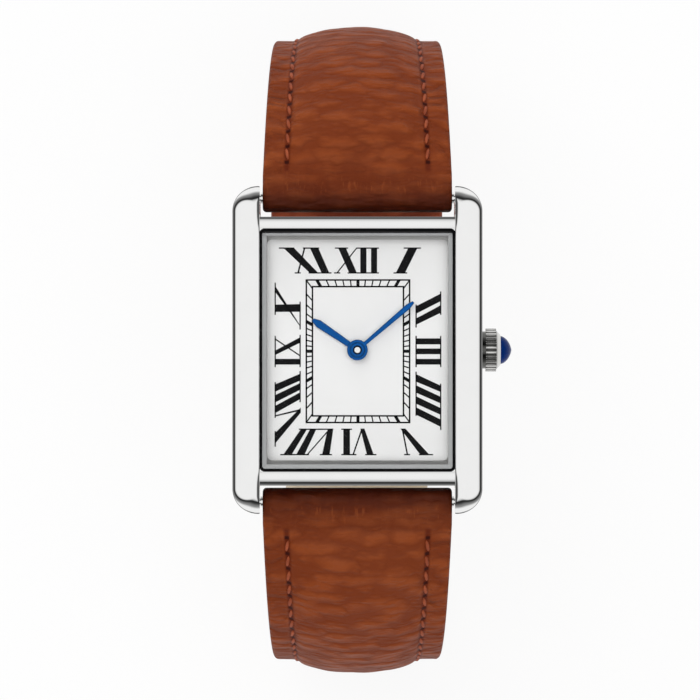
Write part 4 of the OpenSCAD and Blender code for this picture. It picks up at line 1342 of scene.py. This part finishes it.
@dataclass
class DialPrint:
    """Roman numerals stretched towards the rim and the minute track, as thin raised ink.

    BANDS has the outer and the inner line of each band of numerals. A stroke or a pair of serifs is
    where it starts and ends on the outer line, and the same on the inner line. (0, 0) is no serif.
    The tracks are half the width and half the height of the two rectangles, and ticks has the width
    of the hour ticks and of the others. Strokes under hairline wide are widened by thicken.
    """

    base: float = 4.098
    thickness: float = 0.022
    serif: float = 0.13
    outer_track: Point = (5.29, 7.3)
    inner_track: Point = (4.66, 6.62)
    track_centre: Point = (0.06, -0.13)
    line: float = 0.16
    hairline: float = 0.2
    thicken: float = 0.03
    ticks: Point = (0.32, 0.13)

    BANDS = {
        Edge.TOP: (10.5, 7.83),
        Edge.BOTTOM: (-10.78, -8.05),
        Edge.LEFT: (-8.48, -5.8),
        Edge.RIGHT: (8.6, 5.95),
    }
    STROKES = {
        Edge.TOP: (
            ((-7.63, -6.53), (-4.81, -3.95)), ((-5.46, -5.33), (-6.16, -6.02)),
            ((-4.89, -4.02), (-3.63, -2.85)), ((-1.99, -1.2), (-0.81, -0.02)),
            ((-0.09, 0.04), (-2.2, -2.07)), ((0.3, 0.93), (0.3, 0.93)),
            ((1.4, 2.02), (1.4, 2.02)), ((5.24, 6.18), (3.91, 4.84)),
        ),
        Edge.BOTTOM: (
            ((-7.63, -6.77), (-5.75, -5.12)), ((-6.3, -5.44), (-4.81, -4.18)),
            ((-3.63, -2.85), (-3.04, -2.46)), ((-5.25, -5.12), (-2.86, -2.72)),
            ((-1.44, -0.76), (-1.44, -0.76)), ((-0.52, -0.39), (0.42, 0.55)),
            ((1.0, 1.7), (0.3, 0.72)), ((5.07, 5.2), (4.54, 4.67)),
            ((6.49, 7.43), (4.4, 4.92)),
        ),
        Edge.RIGHT: (
            ((5.03, 5.81), (3.68, 4.46)), ((3.84, 4.62), (2.55, 3.2)),
            ((0.58, 1.19), (0.58, 1.19)), ((-0.43, 0.15), (-0.43, 0.15)),
            ((-1.49, -0.91), (-1.49, -0.91)), ((-4.33, -3.68), (-3.22, -2.44)),
            ((-5.5, -4.82), (-4.35, -3.58)), ((-6.67, -5.98), (-5.48, -4.7)),
            ((-7.9, -7.15), (-6.6, -5.83)),
        ),
        Edge.LEFT: (
            ((3.9, 4.65), (3.92, 4.7)), ((6.05, 6.67), (2.3, 2.42)),
            ((-1.49, -0.91), (-1.49, -0.91)), ((-0.55, -0.09), (0.78, 1.34)),
            ((1.1, 1.23), (-0.7, -0.57)), ((-4.3, -3.55), (-3.1, -2.4)),
            ((-5.4, -4.65), (-4.05, -3.35)), ((-6.5, -5.75), (-5.0, -4.3)),
            ((-6.82, -6.7), (-6.2, -6.05)), ((-9.65, -8.55), (-6.42, -5.9)),
        ),
    }
    SERIFS = {
        Edge.TOP: (
            ((-8.04, -6.46), (-6.42, -5.8)), ((-5.58, -3.9), (-5.0, -2.65)),
            ((-2.3, -0.95), (-2.4, -1.75)), ((-0.15, 2.2), (-1.0, 2.2)),
            ((4.75, 6.5), (3.7, 5.1)),
        ),
        Edge.BOTTOM: (
            ((-7.9, -4.95), (-6.0, -2.6)), ((-3.85, -2.6), (0, 0)),
            ((-1.65, -0.1), (-1.65, -0.55)), ((0.8, 1.95), (0, 0)),
            ((4.78, 5.4), (0, 0)), ((6.3, 7.75), (0, 0)),
        ),
        Edge.RIGHT: (
            ((3.6, 6.0), (2.3, 4.65)), ((-1.75, 1.45), (-1.75, 1.45)),
            ((-8.2, -3.45), (-6.75, -2.22)),
        ),
        Edge.LEFT: (
            ((3.6, 6.9), (2.1, 4.95)), ((-1.75, 1.45), (-1.75, 1.55)),
            ((-6.95, -3.3), (-5.35, -2.15)), ((-9.9, -8.3), (0, 0)),
        ),
    }

    def open_sheet(self) -> bpy.types.Object:
        """An empty ink piece, open in edit mode."""
        deselect()
        bpy.ops.mesh.primitive_plane_add(size=1 * MM, location=(0, 0, 0))
        sheet = bpy.context.object
        bpy.ops.object.mode_set(mode="EDIT")
        bpy.ops.mesh.select_all(action="SELECT")
        bpy.ops.mesh.delete(type="VERT")
        return sheet

    def quad(self, sheet: bpy.types.Object, corners: Sequence[Point]) -> None:
        """Adds a plane to the open sheet and moves its corners.

        Args:
            sheet: the ink piece in edit mode.
            corners: four places in millimetres, round the patch.
        """
        bpy.ops.mesh.primitive_plane_add(size=1 * MM, location=(0, 0, self.base * MM))
        ink = bmesh.from_edit_mesh(sheet.data)
        fresh = [vertex for vertex in ink.verts if vertex.select]
        x0, y0 = np.mean(corners, axis=0)
        wanted = sorted(corners, key=lambda spot: math.atan2(spot[1] - y0, spot[0] - x0))
        fresh.sort(key=lambda vertex: math.atan2(vertex.co.y, vertex.co.x))
        for vertex, spot in zip(fresh, wanted):
            vertex.co.x, vertex.co.y = spot[0] * MM, spot[1] * MM
        bmesh.update_edit_mesh(sheet.data)

    def close_sheet(self, sheet: bpy.types.Object, name: str) -> None:
        """Gives the patches their thickness and finishes the ink piece."""
        bpy.ops.mesh.select_all(action="SELECT")
        up = (0, 0, self.thickness * MM)
        bpy.ops.mesh.extrude_region_move(TRANSFORM_OT_translate={"value": up})
        bpy.ops.object.mode_set(mode="OBJECT")
        settle(sheet, name, 20)
        use(sheet, Body.CASE, "ink")

    def band_quad(
        self, edge: Edge, outer: float, inner: float, at_outer: Point, at_inner: Point
    ) -> list[Point]:
        """Corners of a patch in a band of numerals.

        Args:
            edge: the band.
            outer: where its outer line lies.
            inner: where its inner line lies.
            at_outer: where the patch starts and ends on the outer line.
            at_inner: where it starts and ends on the inner line.

        Returns:
            Its four corners.
        """
        spots = [(along, outer) for along in at_outer]
        spots += [(along, inner) for along in at_inner[::-1]]
        return spots if edge in (Edge.TOP, Edge.BOTTOM) else [spot[::-1] for spot in spots]

    def build_numerals(self) -> None:
        """All strokes and serifs of the twelve numerals."""
        sheet = self.open_sheet()
        for edge, strokes in self.STROKES.items():
            outer, inner = self.BANDS[edge]
            for at_outer, at_inner in strokes:
                if at_outer[1] - at_outer[0] < self.hairline:
                    wider = self.thicken / 2
                    at_outer = (at_outer[0] - wider, at_outer[1] + wider)
                    at_inner = (at_inner[0] - wider, at_inner[1] + wider)
                self.quad(sheet, self.band_quad(edge, outer, inner, at_outer, at_inner))
            inward = math.copysign(self.serif, inner - outer)
            for at_outer, at_inner in self.SERIFS[edge]:
                for along, line, ahead in ((at_outer, outer, inward), (at_inner, inner, -inward)):
                    if along != (0, 0):
                        self.quad(sheet, self.band_quad(edge, line, line + ahead, along, along))
        self.close_sheet(sheet, "dial_numerals")

    def build_track(self) -> None:
        """Two rectangles and sixty radial ticks between them."""
        sheet = self.open_sheet()
        x0, y0 = self.track_centre
        corners = ((-1, -1), (1, -1), (1, 1), (-1, 1))
        edge = self.line / 2
        for half_x, half_y in (self.outer_track, self.inner_track):
            for side in (-1, 1):
                x, y = x0 + side * half_x, y0 + side * half_y
                wide, tall = half_x + edge, half_y - edge
                self.quad(sheet, [(x0 + i * wide, y + j * edge) for i, j in corners])
                self.quad(sheet, [(x + i * edge, y0 + j * tall) for i, j in corners])
        for k in range(60):
            turn = math.radians(6 * k)
            ahead = (math.sin(turn), math.cos(turn))
            width = self.ticks[0] if k % 5 == 0 else self.ticks[1]
            ends = []
            for half_x, half_y in (self.inner_track, self.outer_track):
                reach = min(half_x / max(abs(ahead[0]), 1e-6), half_y / max(abs(ahead[1]), 1e-6))
                ends.append((x0 + reach * ahead[0], y0 + reach * ahead[1]))
            aside_x, aside_y = ahead[1] * width / 2, -ahead[0] * width / 2
            spots = ((ends[0], -1), (ends[0], 1), (ends[1], 1), (ends[1], -1))
            self.quad(sheet, [(x + side * aside_x, y + side * aside_y) for (x, y), side in spots])
        self.close_sheet(sheet, "dial_minute_track")

    def build(self) -> None:
        """Prints the dial."""
        self.build_numerals()
        self.build_track()


@dataclass
class Hands:
    """Blued hands with rounded edges, the rings on the minute hand's hub and its pin; the dark ring
    round the hub is painted shade.

    RINGS has each ring's name, its radius, the radius of its wire and its finish.
    """

    soften: float = 0.07
    hub_top: float = 5.03

    # The second ring is a dark ring of painted shade round the hub.
    RINGS = (
        ("hub_raised_ring", 0.74, 0.06, "blued"), ("hub_shade_ring", 0.4, 0.07, "dark_blued_and_shade"),
        ("hub_pin_ring", 0.15, 0.035, "dark_blued_and_shade"),
    )

    def build(self) -> None:
        """Builds both hands and the rings."""
        for node, body in (("hour_hand", Body.HOUR), ("minute_hand", Body.MINUTE)):
            blade = smoothed_copy([node], f"{node}_blade", self.soften)
            use(blade, body, "blued")
        for name, radius, wire, finish in self.RINGS:
            deselect()
            bpy.ops.mesh.primitive_torus_add(
                major_segments=64, minor_segments=12, major_radius=radius * MM,
                minor_radius=wire * MM, location=(0, 0, self.hub_top * MM),
            )
            use(settle(bpy.context.object, name), Body.MINUTE, finish)


@dataclass
class Rail:
    """One polished side rail, whose rounded edge widens round its two tips.

    A round or an edge is an arc's radius with the sine of its slope at the side, and tip_lip is the
    width and the slope of the narrow lip round the tips.
    """

    side: int
    inner: float = 9.97
    width: float = 2.78
    half: float = 16.75
    top: float = 6.25
    bottom: float = 0.8
    corner: float = 2.6
    tip_turn: float = 75.0
    tip_round: Point = (1.83, 1.0)
    side_round: Point = (0.8, 0.62)
    tip_lip: Point = (0.13, 0.55)
    tip_under: float = 2.1
    side_under: float = 0.12
    lug_edge: Point = (0.75, 0.62)
    seat_edge: Point = (0.1, 1.0)
    lug_from: float = 12.7
    lug_fade: float = 0.6
    near_corner: float = 0.12
    bar_at: Point = BAR_AT
    bar_hole: Point = (0.42, 0.96)
    stem_at: Point = (0.0, 2.6)
    tube_radius: float = 0.9
    steps: int = 36

    def stations(self) -> list[float]:
        """Places along the rail, close together round its tips."""
        start = self.half - self.corner
        tip = [start + self.corner * math.sin(math.pi / 2 * k / 30) for k in range(31)]
        return [-y for y in reversed(tip)] + [start * k / 24 for k in range(-23, 24)] + tip

    def span(self, y: float) -> Point:
        """Where the rail starts and ends across, seen from the front, at a place along it."""
        past = max(0.0, abs(y) - (self.half - self.corner))
        far = self.width - self.corner + math.sqrt(max(0.0, self.corner**2 - past**2))
        into = max(0.0, abs(y) - (self.half - self.near_corner))
        return self.near_corner - math.sqrt(max(0.0, self.near_corner**2 - into**2)), far

    def edge(self, x: float, y: float) -> Point:
        """How a place lies to the outline.

        Args:
            x: distance from the rail's inner face.
            y: place along the rail.

        Returns:
            The distance from the outline, and 0 at the side to 1 at the tip.
        """
        across = x - (self.width - self.corner)
        past = abs(y) - (self.half - self.corner)
        if past <= 0:
            return self.width - x, 0.0
        if across <= 0:
            return self.half - abs(y), 1.0
        share = math.atan2(past, across) / math.radians(self.tip_turn)
        return self.corner - math.hypot(across, past), ease(share)

    @staticmethod
    def fall(depth: float, radius: float, lean: float = 1.0) -> float:
        """How far a rounded edge has fallen.

        Args:
            depth: distance from the edge's end.
            radius: radius of its arc.
            lean: sine of the slope where the arc ends in the upright side.

        Returns:
            The fall in millimetres.
        """
        inside = min(radius, max(0.0, radius * lean - depth))
        return radius - math.sqrt(radius * radius - inside * inside)

    @staticmethod
    def between(first: Point, second: Point, share: float) -> Point:
        """An arc's radius and lean between two others."""
        return first[0] + (second[0] - first[0]) * share, first[1] + (second[1] - first[1]) * share

    @staticmethod
    def blend(first: float, second: float) -> float:
        """The larger of two falls, with a soft change where they are alike."""
        return (first**4 + second**4) ** 0.25

    def ring(self, y: float) -> list[Place]:
        """The rail's cross section at a place along it: over the top from outside, back below."""
        near, far = self.span(y)
        lug = ease((abs(y) - self.lug_from) / self.lug_fade)
        inner_edge = self.between(self.seat_edge, self.lug_edge, lug)
        over, below = [], []
        for k in range(self.steps + 1):
            x = far - (far - near) * (1 - math.cos(math.pi * k / self.steps)) / 2
            depth, tip = self.edge(x, y)
            lip = self.tip_lip[0] * tip
            outer = self.fall(max(depth, lip), *self.between(self.side_round, self.tip_round, tip))
            outer += max(0.0, lip - depth) * self.tip_lip[1]
            inner = self.fall(x - near, *inner_edge)
            over.append((x, self.top - self.blend(outer, inner)))
            outer = self.fall(depth, self.side_under + (self.tip_under - self.side_under) * tip)
            inner = self.fall(x - near, self.side_under)
            below.append((x, self.bottom + self.blend(outer, inner)))
        return [(self.side * (self.inner + x), y, z) for x, z in over + below[::-1]]

    def drill(self, piece: bpy.types.Object, at: Point, radius: float, depth: float) -> None:
        """Cuts a hole into the rail from its inner face.

        Args:
            piece: the rail.
            at: y and z of the hole's axis.
            radius: the hole's radius.
            depth: how far it goes in.
        """
        start, end = self.inner - 0.5, self.inner + depth
        bore(piece, (self.side * (start + end) / 2, *at), radius, end - start, ALONG_X)

    def build(self) -> None:
        """Builds the rail with its spring bar holes, and the tube's hole at the crown's side."""
        rings = np.array([self.ring(y) for y in self.stations()]) * MM
        piece = skin(rings, "case_right_rail" if self.side > 0 else "case_left_rail", 50)
        radius, depth = self.bar_hole
        for end in (-1, 1):
            self.drill(piece, (end * self.bar_at[0], self.bar_at[1]), radius, depth)
        if self.side > 0:
            self.drill(piece, self.stem_at, self.tube_radius, self.width + 0.5)
        settle(piece, piece.name, 50)
        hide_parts("case_middle")
        use(piece, Body.CASE, "mirror_steel")


@dataclass(frozen=True)
class Crossbar:
    """One crossbar above or under the crystal, with a low crown and a rounded outer edge.

    turns are the slopes, in degrees, where the crown ends and where the rounded edge ends, and seat
    is the crystal's opening: its width, its length and the radius of its corners.
    """

    side: int
    half: float = 9.97
    foot: float = 5.3
    top: float = 5.98
    inner: float = 12.4
    outer: float = 13.6
    crown: float = 2.0
    edge: float = 0.6
    turns: Point = (16.0, 38.0)
    hidden: float = 0.5
    seat: Place = (20.0, 24.8, 0.5)

    def profile(self) -> list[Point]:
        """The closed outline as (y, z), from the inner foot over the top to the outer foot."""
        crown, edge = self.crown, self.edge
        near = self.inner - self.hidden
        lean, last = (math.radians(turn) for turn in self.turns)
        start = self.outer - edge * (math.sin(last) - math.sin(lean))
        middle = start - crown * math.sin(lean)
        centre = self.top - crown
        first = math.asin((near - middle) / crown)
        points = [(near, self.foot)]
        for turn in (first + (lean - first) * k / 14 for k in range(14)):
            points.append((middle + crown * math.sin(turn), centre + crown * math.cos(turn)))
        low = centre + (crown - edge) * math.cos(lean)
        for turn in (lean + (last - lean) * k / 12 for k in range(13)):
            away = edge * (math.sin(last) - math.sin(turn))
            points.append((self.outer - away, low + edge * math.cos(turn)))
        return [*points, (self.outer, self.foot)]

    def build(self) -> None:
        """Builds the crossbar and cuts the crystal's seat out of it."""
        outline = self.profile()
        stations = np.linspace(-self.half, self.half, 9)
        rings = [[(x, self.side * y, z) for y, z in outline] for x in stations]
        name = "case_upper_crossbar" if self.side > 0 else "case_lower_crossbar"
        piece = skin(np.array(rings) * MM, name, 40)
        seat_w, seat_l, corner = self.seat
        seat = make_box((0, 0, self.top), (seat_w, seat_l, 4))
        bpy.ops.object.mode_set(mode="EDIT")
        bpy.ops.mesh.select_all(action="DESELECT")
        mesh = bmesh.from_edit_mesh(seat.data)
        for edge in mesh.edges:
            low, high = (vertex.co for vertex in edge.verts)
            edge.select_set(abs(low.z - high.z) > MM)
        bmesh.update_edit_mesh(seat.data)
        bpy.ops.mesh.bevel(offset=corner * MM, segments=8)
        bpy.ops.object.mode_set(mode="OBJECT")
        cut_with(piece, seat)
        settle(piece, name, 40)
        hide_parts("case_middle")
        use(piece, Body.CASE, "mirror_steel")


@dataclass
class Case:
    """The polished case, its fluted crown with the cabochon, and the screwed back.

    The shell is the case cut off at shell_half across, where the rails begin, and above ledge
    between the two seat_ends along it, where the crossbars stand. The cuts reach past it. Its faces
    inside opening, which is half its width, half its length and its upper end, are satin.
    """

    rim: float = 0.06
    crown_edge: float = 0.05
    shell_half: float = 9.97
    ledge: float = 5.32
    seat_ends: Point = (11.9, 14.5)
    past: Place = (4.0, 18.0, 8.0)
    opening: Place = (9.9, 12.25, 5.31)
    bars: tuple[Crossbar, Crossbar] = (Crossbar(-1, outer=13.85, edge=1.18), Crossbar(1))

    def cut_away(self, piece: bpy.types.Object, low: Place, high: Place) -> None:
        """Cuts a box out of a piece, given by its lowest and highest corners in millimetres."""
        centre = [(a + b) / 2 for a, b in zip(low, high)]
        cut_with(piece, make_box(centre, [b - a for a, b in zip(low, high)]))

    def build_shell(self) -> None:
        """Builds the middle of the case between the rails, under the crossbars."""
        shell = smoothed_copy(["case_middle"], "case_polished_shell", self.rim, 40, 3)
        half = self.shell_half
        wide, long, high = self.past
        for side in (-1, 1):
            near, far = sorted((side * half, side * (half + wide)))
            self.cut_away(shell, (near, -long, 0), (far, long, high))
            near, far = sorted(side * end for end in self.seat_ends)
            self.cut_away(shell, (-half - 1, near, self.ledge), (half + 1, far, high))
        settle(shell, shell.name, 38)
        even_faces(shell)
        use(shell, Body.CASE, "mirror_steel")
        shell.data.materials.append(PALETTE.get("rehaut_steel"))
        half_w, half_l, top = self.opening
        for face in shell.data.polygons:
            x, y, z = face.center / MM
            if abs(x) < half_w and abs(y) < half_l and z < top:
                face.material_index = len(shell.data.materials) - 1

    def build(self) -> None:
        """Builds the case, crown and back."""
        self.build_shell()
        for bar in self.bars:
            Rail(bar.side).build()
            bar.build()
        back = smoothed_copy(["case_back"], "case_back_plate", 0.12, 32, 3)
        use(back, Body.CASE, "satin_steel")
        crown = smoothed_copy(["crown"], "crown_fluted", self.crown_edge, 32, 2)
        use(crown, Body.CROWN, "crown_steel")
        stone = smoothed_copy(["crown_cabochon"], "crown_blue_stone", 0.0, 50)
        use(stone, Body.CROWN, "sapphire_blue")


class Works:
    """Finishes of the solids that stay as they are: crystal, dial, gaskets, bars and movement."""

    FINISHES = {
        "glass": ("crystal",),
        "dial_white": ("dial",),
        "rubber": ("crystal_gasket", "back_gasket", "crown_gasket"),
        "mirror_steel": (
            "back_screws", "case_tube", "movement_screws", "cannon_pinion",
            "spring_bar_upper", "spring_bar_lower", "buckle_bar",
        ),
        "spring_steel": ("battery_clip", "clutch_wheel", "winding_stem", "setting_lever"),
        "nickel_can": ("battery", "quartz_can"),
        "plate_brass": ("main_plate", "train_bridge"),
        "gilt_brass": (
            "intermediate_wheel", "third_wheel", "centre_wheel", "minute_wheel", "hour_wheel",
            "setting_wheel",
        ),
        "soft_iron": ("coil_core", "stator"),
        "dark_magnet": ("rotor",),
        "copper": ("coil_winding",),
        "board": ("circuit_board",),
        "chip": ("control_chip",),
        "holder": ("movement_holder",),
    }

    def build(self) -> None:
        """Dresses each solid."""
        for finish, nodes in self.FINISHES.items():
            for node in nodes:
                PALETTE.dress(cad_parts[node], finish)
                log.info("%s: %s", node, finish)


# Studio


@dataclass(frozen=True)
class Lamp:
    """A square soft lamp that points at the watch, and that its steel doesn't mirror.

    Its place and its side are in metres and its power in watts.
    """

    name: str
    at: Place
    size: float
    power: float

    def build(self) -> None:
        """Hangs the lamp."""
        data = bpy.data.lights.new(self.name, "AREA")
        data.size, data.energy = self.size, self.power
        lamp = bpy.data.objects.new(self.name, data)
        lamp.location = self.at
        lamp.rotation_euler = (-Vector(self.at)).to_track_quat("-Z", "Y").to_euler()
        lamp.visible_glossy = False
        bpy.context.scene.collection.objects.link(lamp)


@dataclass
class Studio:
    """The camera straight above the dial, soft lamps, a pale floor and a white tent.

    TENT has the tent's brightness from straight below, 0, to straight above, 1.
    """

    camera_at: Place = (-0.755, 0.0, 456.0)
    lens: float = 226.9
    floor_z: float = -44.55
    floor_size: float = 3.0
    floor_glow: float = 0.88

    LAMPS = (
        Lamp("key_softbox", (-0.3, 0.35, 0.7), 0.6, 2.2),
        Lamp("fill_softbox", (0.35, -0.1, 0.7), 0.5, 0.66),
        Lamp("wash_0", (0, -1.2, 0.4), 0.7, 4.6),
        Lamp("wash_2", (0, 1.2, 0.4), 0.7, 4.6),
        Lamp("ceiling_fill", (0, 0, 1.2), 1.2, 5.5),
    )
    TENT = (
        (0.0, 0.8), (0.5, 0.8), (0.56, 0.6), (0.6, 0.34), (0.72, 0.2), (0.8, 0.07),
        (0.84, 0.03), (0.9, 0.02), (0.93, 0.4), (0.96, 0.8), (0.985, 0.95), (1.0, 0.98),
    )

    def build_camera(self) -> None:
        """Looks straight down, with twelve o'clock at the top of the picture."""
        data = bpy.data.cameras.new("overhead_camera")
        data.lens, data.sensor_width = self.lens, 36.0
        data.clip_start, data.clip_end = 0.01, 20.0
        camera = bpy.data.objects.new("overhead_camera", data)
        camera.location = Vector(self.camera_at) * MM
        bpy.context.scene.collection.objects.link(camera)
        bpy.context.scene.camera = camera

    def build_world(self) -> None:
        """A pale tent with a white ceiling and a dark band under it, which metal reflects."""
        world = bpy.data.worlds.new("light_tent")
        bpy.context.scene.world = world
        world.use_nodes = True
        tree = world.node_tree
        tree.nodes.clear()
        output = tree.nodes.new("ShaderNodeOutputWorld")
        coordinates = tree.nodes.new("ShaderNodeTexCoord")
        split = tree.nodes.new("ShaderNodeSeparateXYZ")
        height = tree.nodes.new("ShaderNodeMapRange")
        ramp = tree.nodes.new("ShaderNodeValToRGB")
        room = tree.nodes.new("ShaderNodeBackground")
        tree.links.new(coordinates.outputs["Generated"], split.inputs[0])
        tree.links.new(split.outputs["Z"], height.inputs[0])
        height.inputs[1].default_value, height.inputs[2].default_value = -1.0, 1.0
        tree.links.new(height.outputs[0], ramp.inputs[0])
        elements = ramp.color_ramp.elements
        first, last = self.TENT[0], self.TENT[-1]
        for element, (position, level) in zip(elements, (first, last)):
            element.position, element.color = position, (level, level, level, 1)
        for position, level in self.TENT[1:-1]:
            elements.new(position).color = (level, level, level, 1)
        tree.links.new(ramp.outputs[0], room.inputs[0])
        tree.links.new(room.outputs[0], output.inputs["Surface"])

    def build_floor(self) -> None:
        """A wide pale floor that stays white to the camera and keeps the watch's shadow."""
        deselect()
        bpy.ops.mesh.primitive_plane_add(size=self.floor_size, location=(0, 0, self.floor_z * MM))
        floor = bpy.context.object
        settle(floor, "studio_floor")
        graph = Graph("pale_floor")
        grain = graph.noise(graph.place(), 0.05, 2)
        tone = graph.mix(grain, (0.86, 0.86, 0.86), (0.88, 0.88, 0.88))
        graph.base(Base_Color=tone, Roughness=0.9)
        glow = graph.node("ShaderNodeEmission", Strength=1.0)
        path = graph.node("ShaderNodeLightPath")
        seen = graph.math("MAXIMUM", path.outputs["Is Camera Ray"], path.outputs["Is Glossy Ray"])
        seen = graph.math("MAXIMUM", seen, path.outputs["Is Transmission Ray"])
        share = graph.math("MULTIPLY", seen, self.floor_glow)
        blend = graph.node("ShaderNodeMixShader")
        graph.join(share, blend.inputs[0])
        graph.join(graph.shader.outputs["BSDF"], blend.inputs[1])
        graph.join(glow.outputs[0], blend.inputs[2])
        graph.join(blend.outputs[0], graph.output.inputs["Surface"])
        floor.data.materials.append(graph.material)

    def build(self) -> None:
        """Sets up the whole studio."""
        self.build_camera()
        self.build_world()
        self.build_floor()
        for lamp in self.LAMPS:
            lamp.build()
        bpy.context.scene.view_settings.view_transform = "Standard"


UPPER_PATH = StrapPath((ROLL, SHOULDER, Stretch(10), WRIST, Stretch(10.7)))
LOWER_PATH = StrapPath(
    (ROLL, SHOULDER, Stretch(13.3), WRIST, Stretch(5), TAIL_CURL, Stretch(21)),
    mirrored=True,
    tip_length=7.0,
)


def main() -> None:
    """Builds the studio and every piece, in order from the case out."""
    logging.basicConfig(level=logging.INFO, format="%(message)s")
    Studio().build()
    Works().build()
    Case().build()
    DialPrint().build()
    Hands().build()
    StrapHalf(UPPER_PATH, Body.UPPER, "upper").build()
    StrapHalf(LOWER_PATH, Body.LOWER, "lower", holes=7).build()
    BuckleEnd().build()


if __name__ == "__main__":
    main()
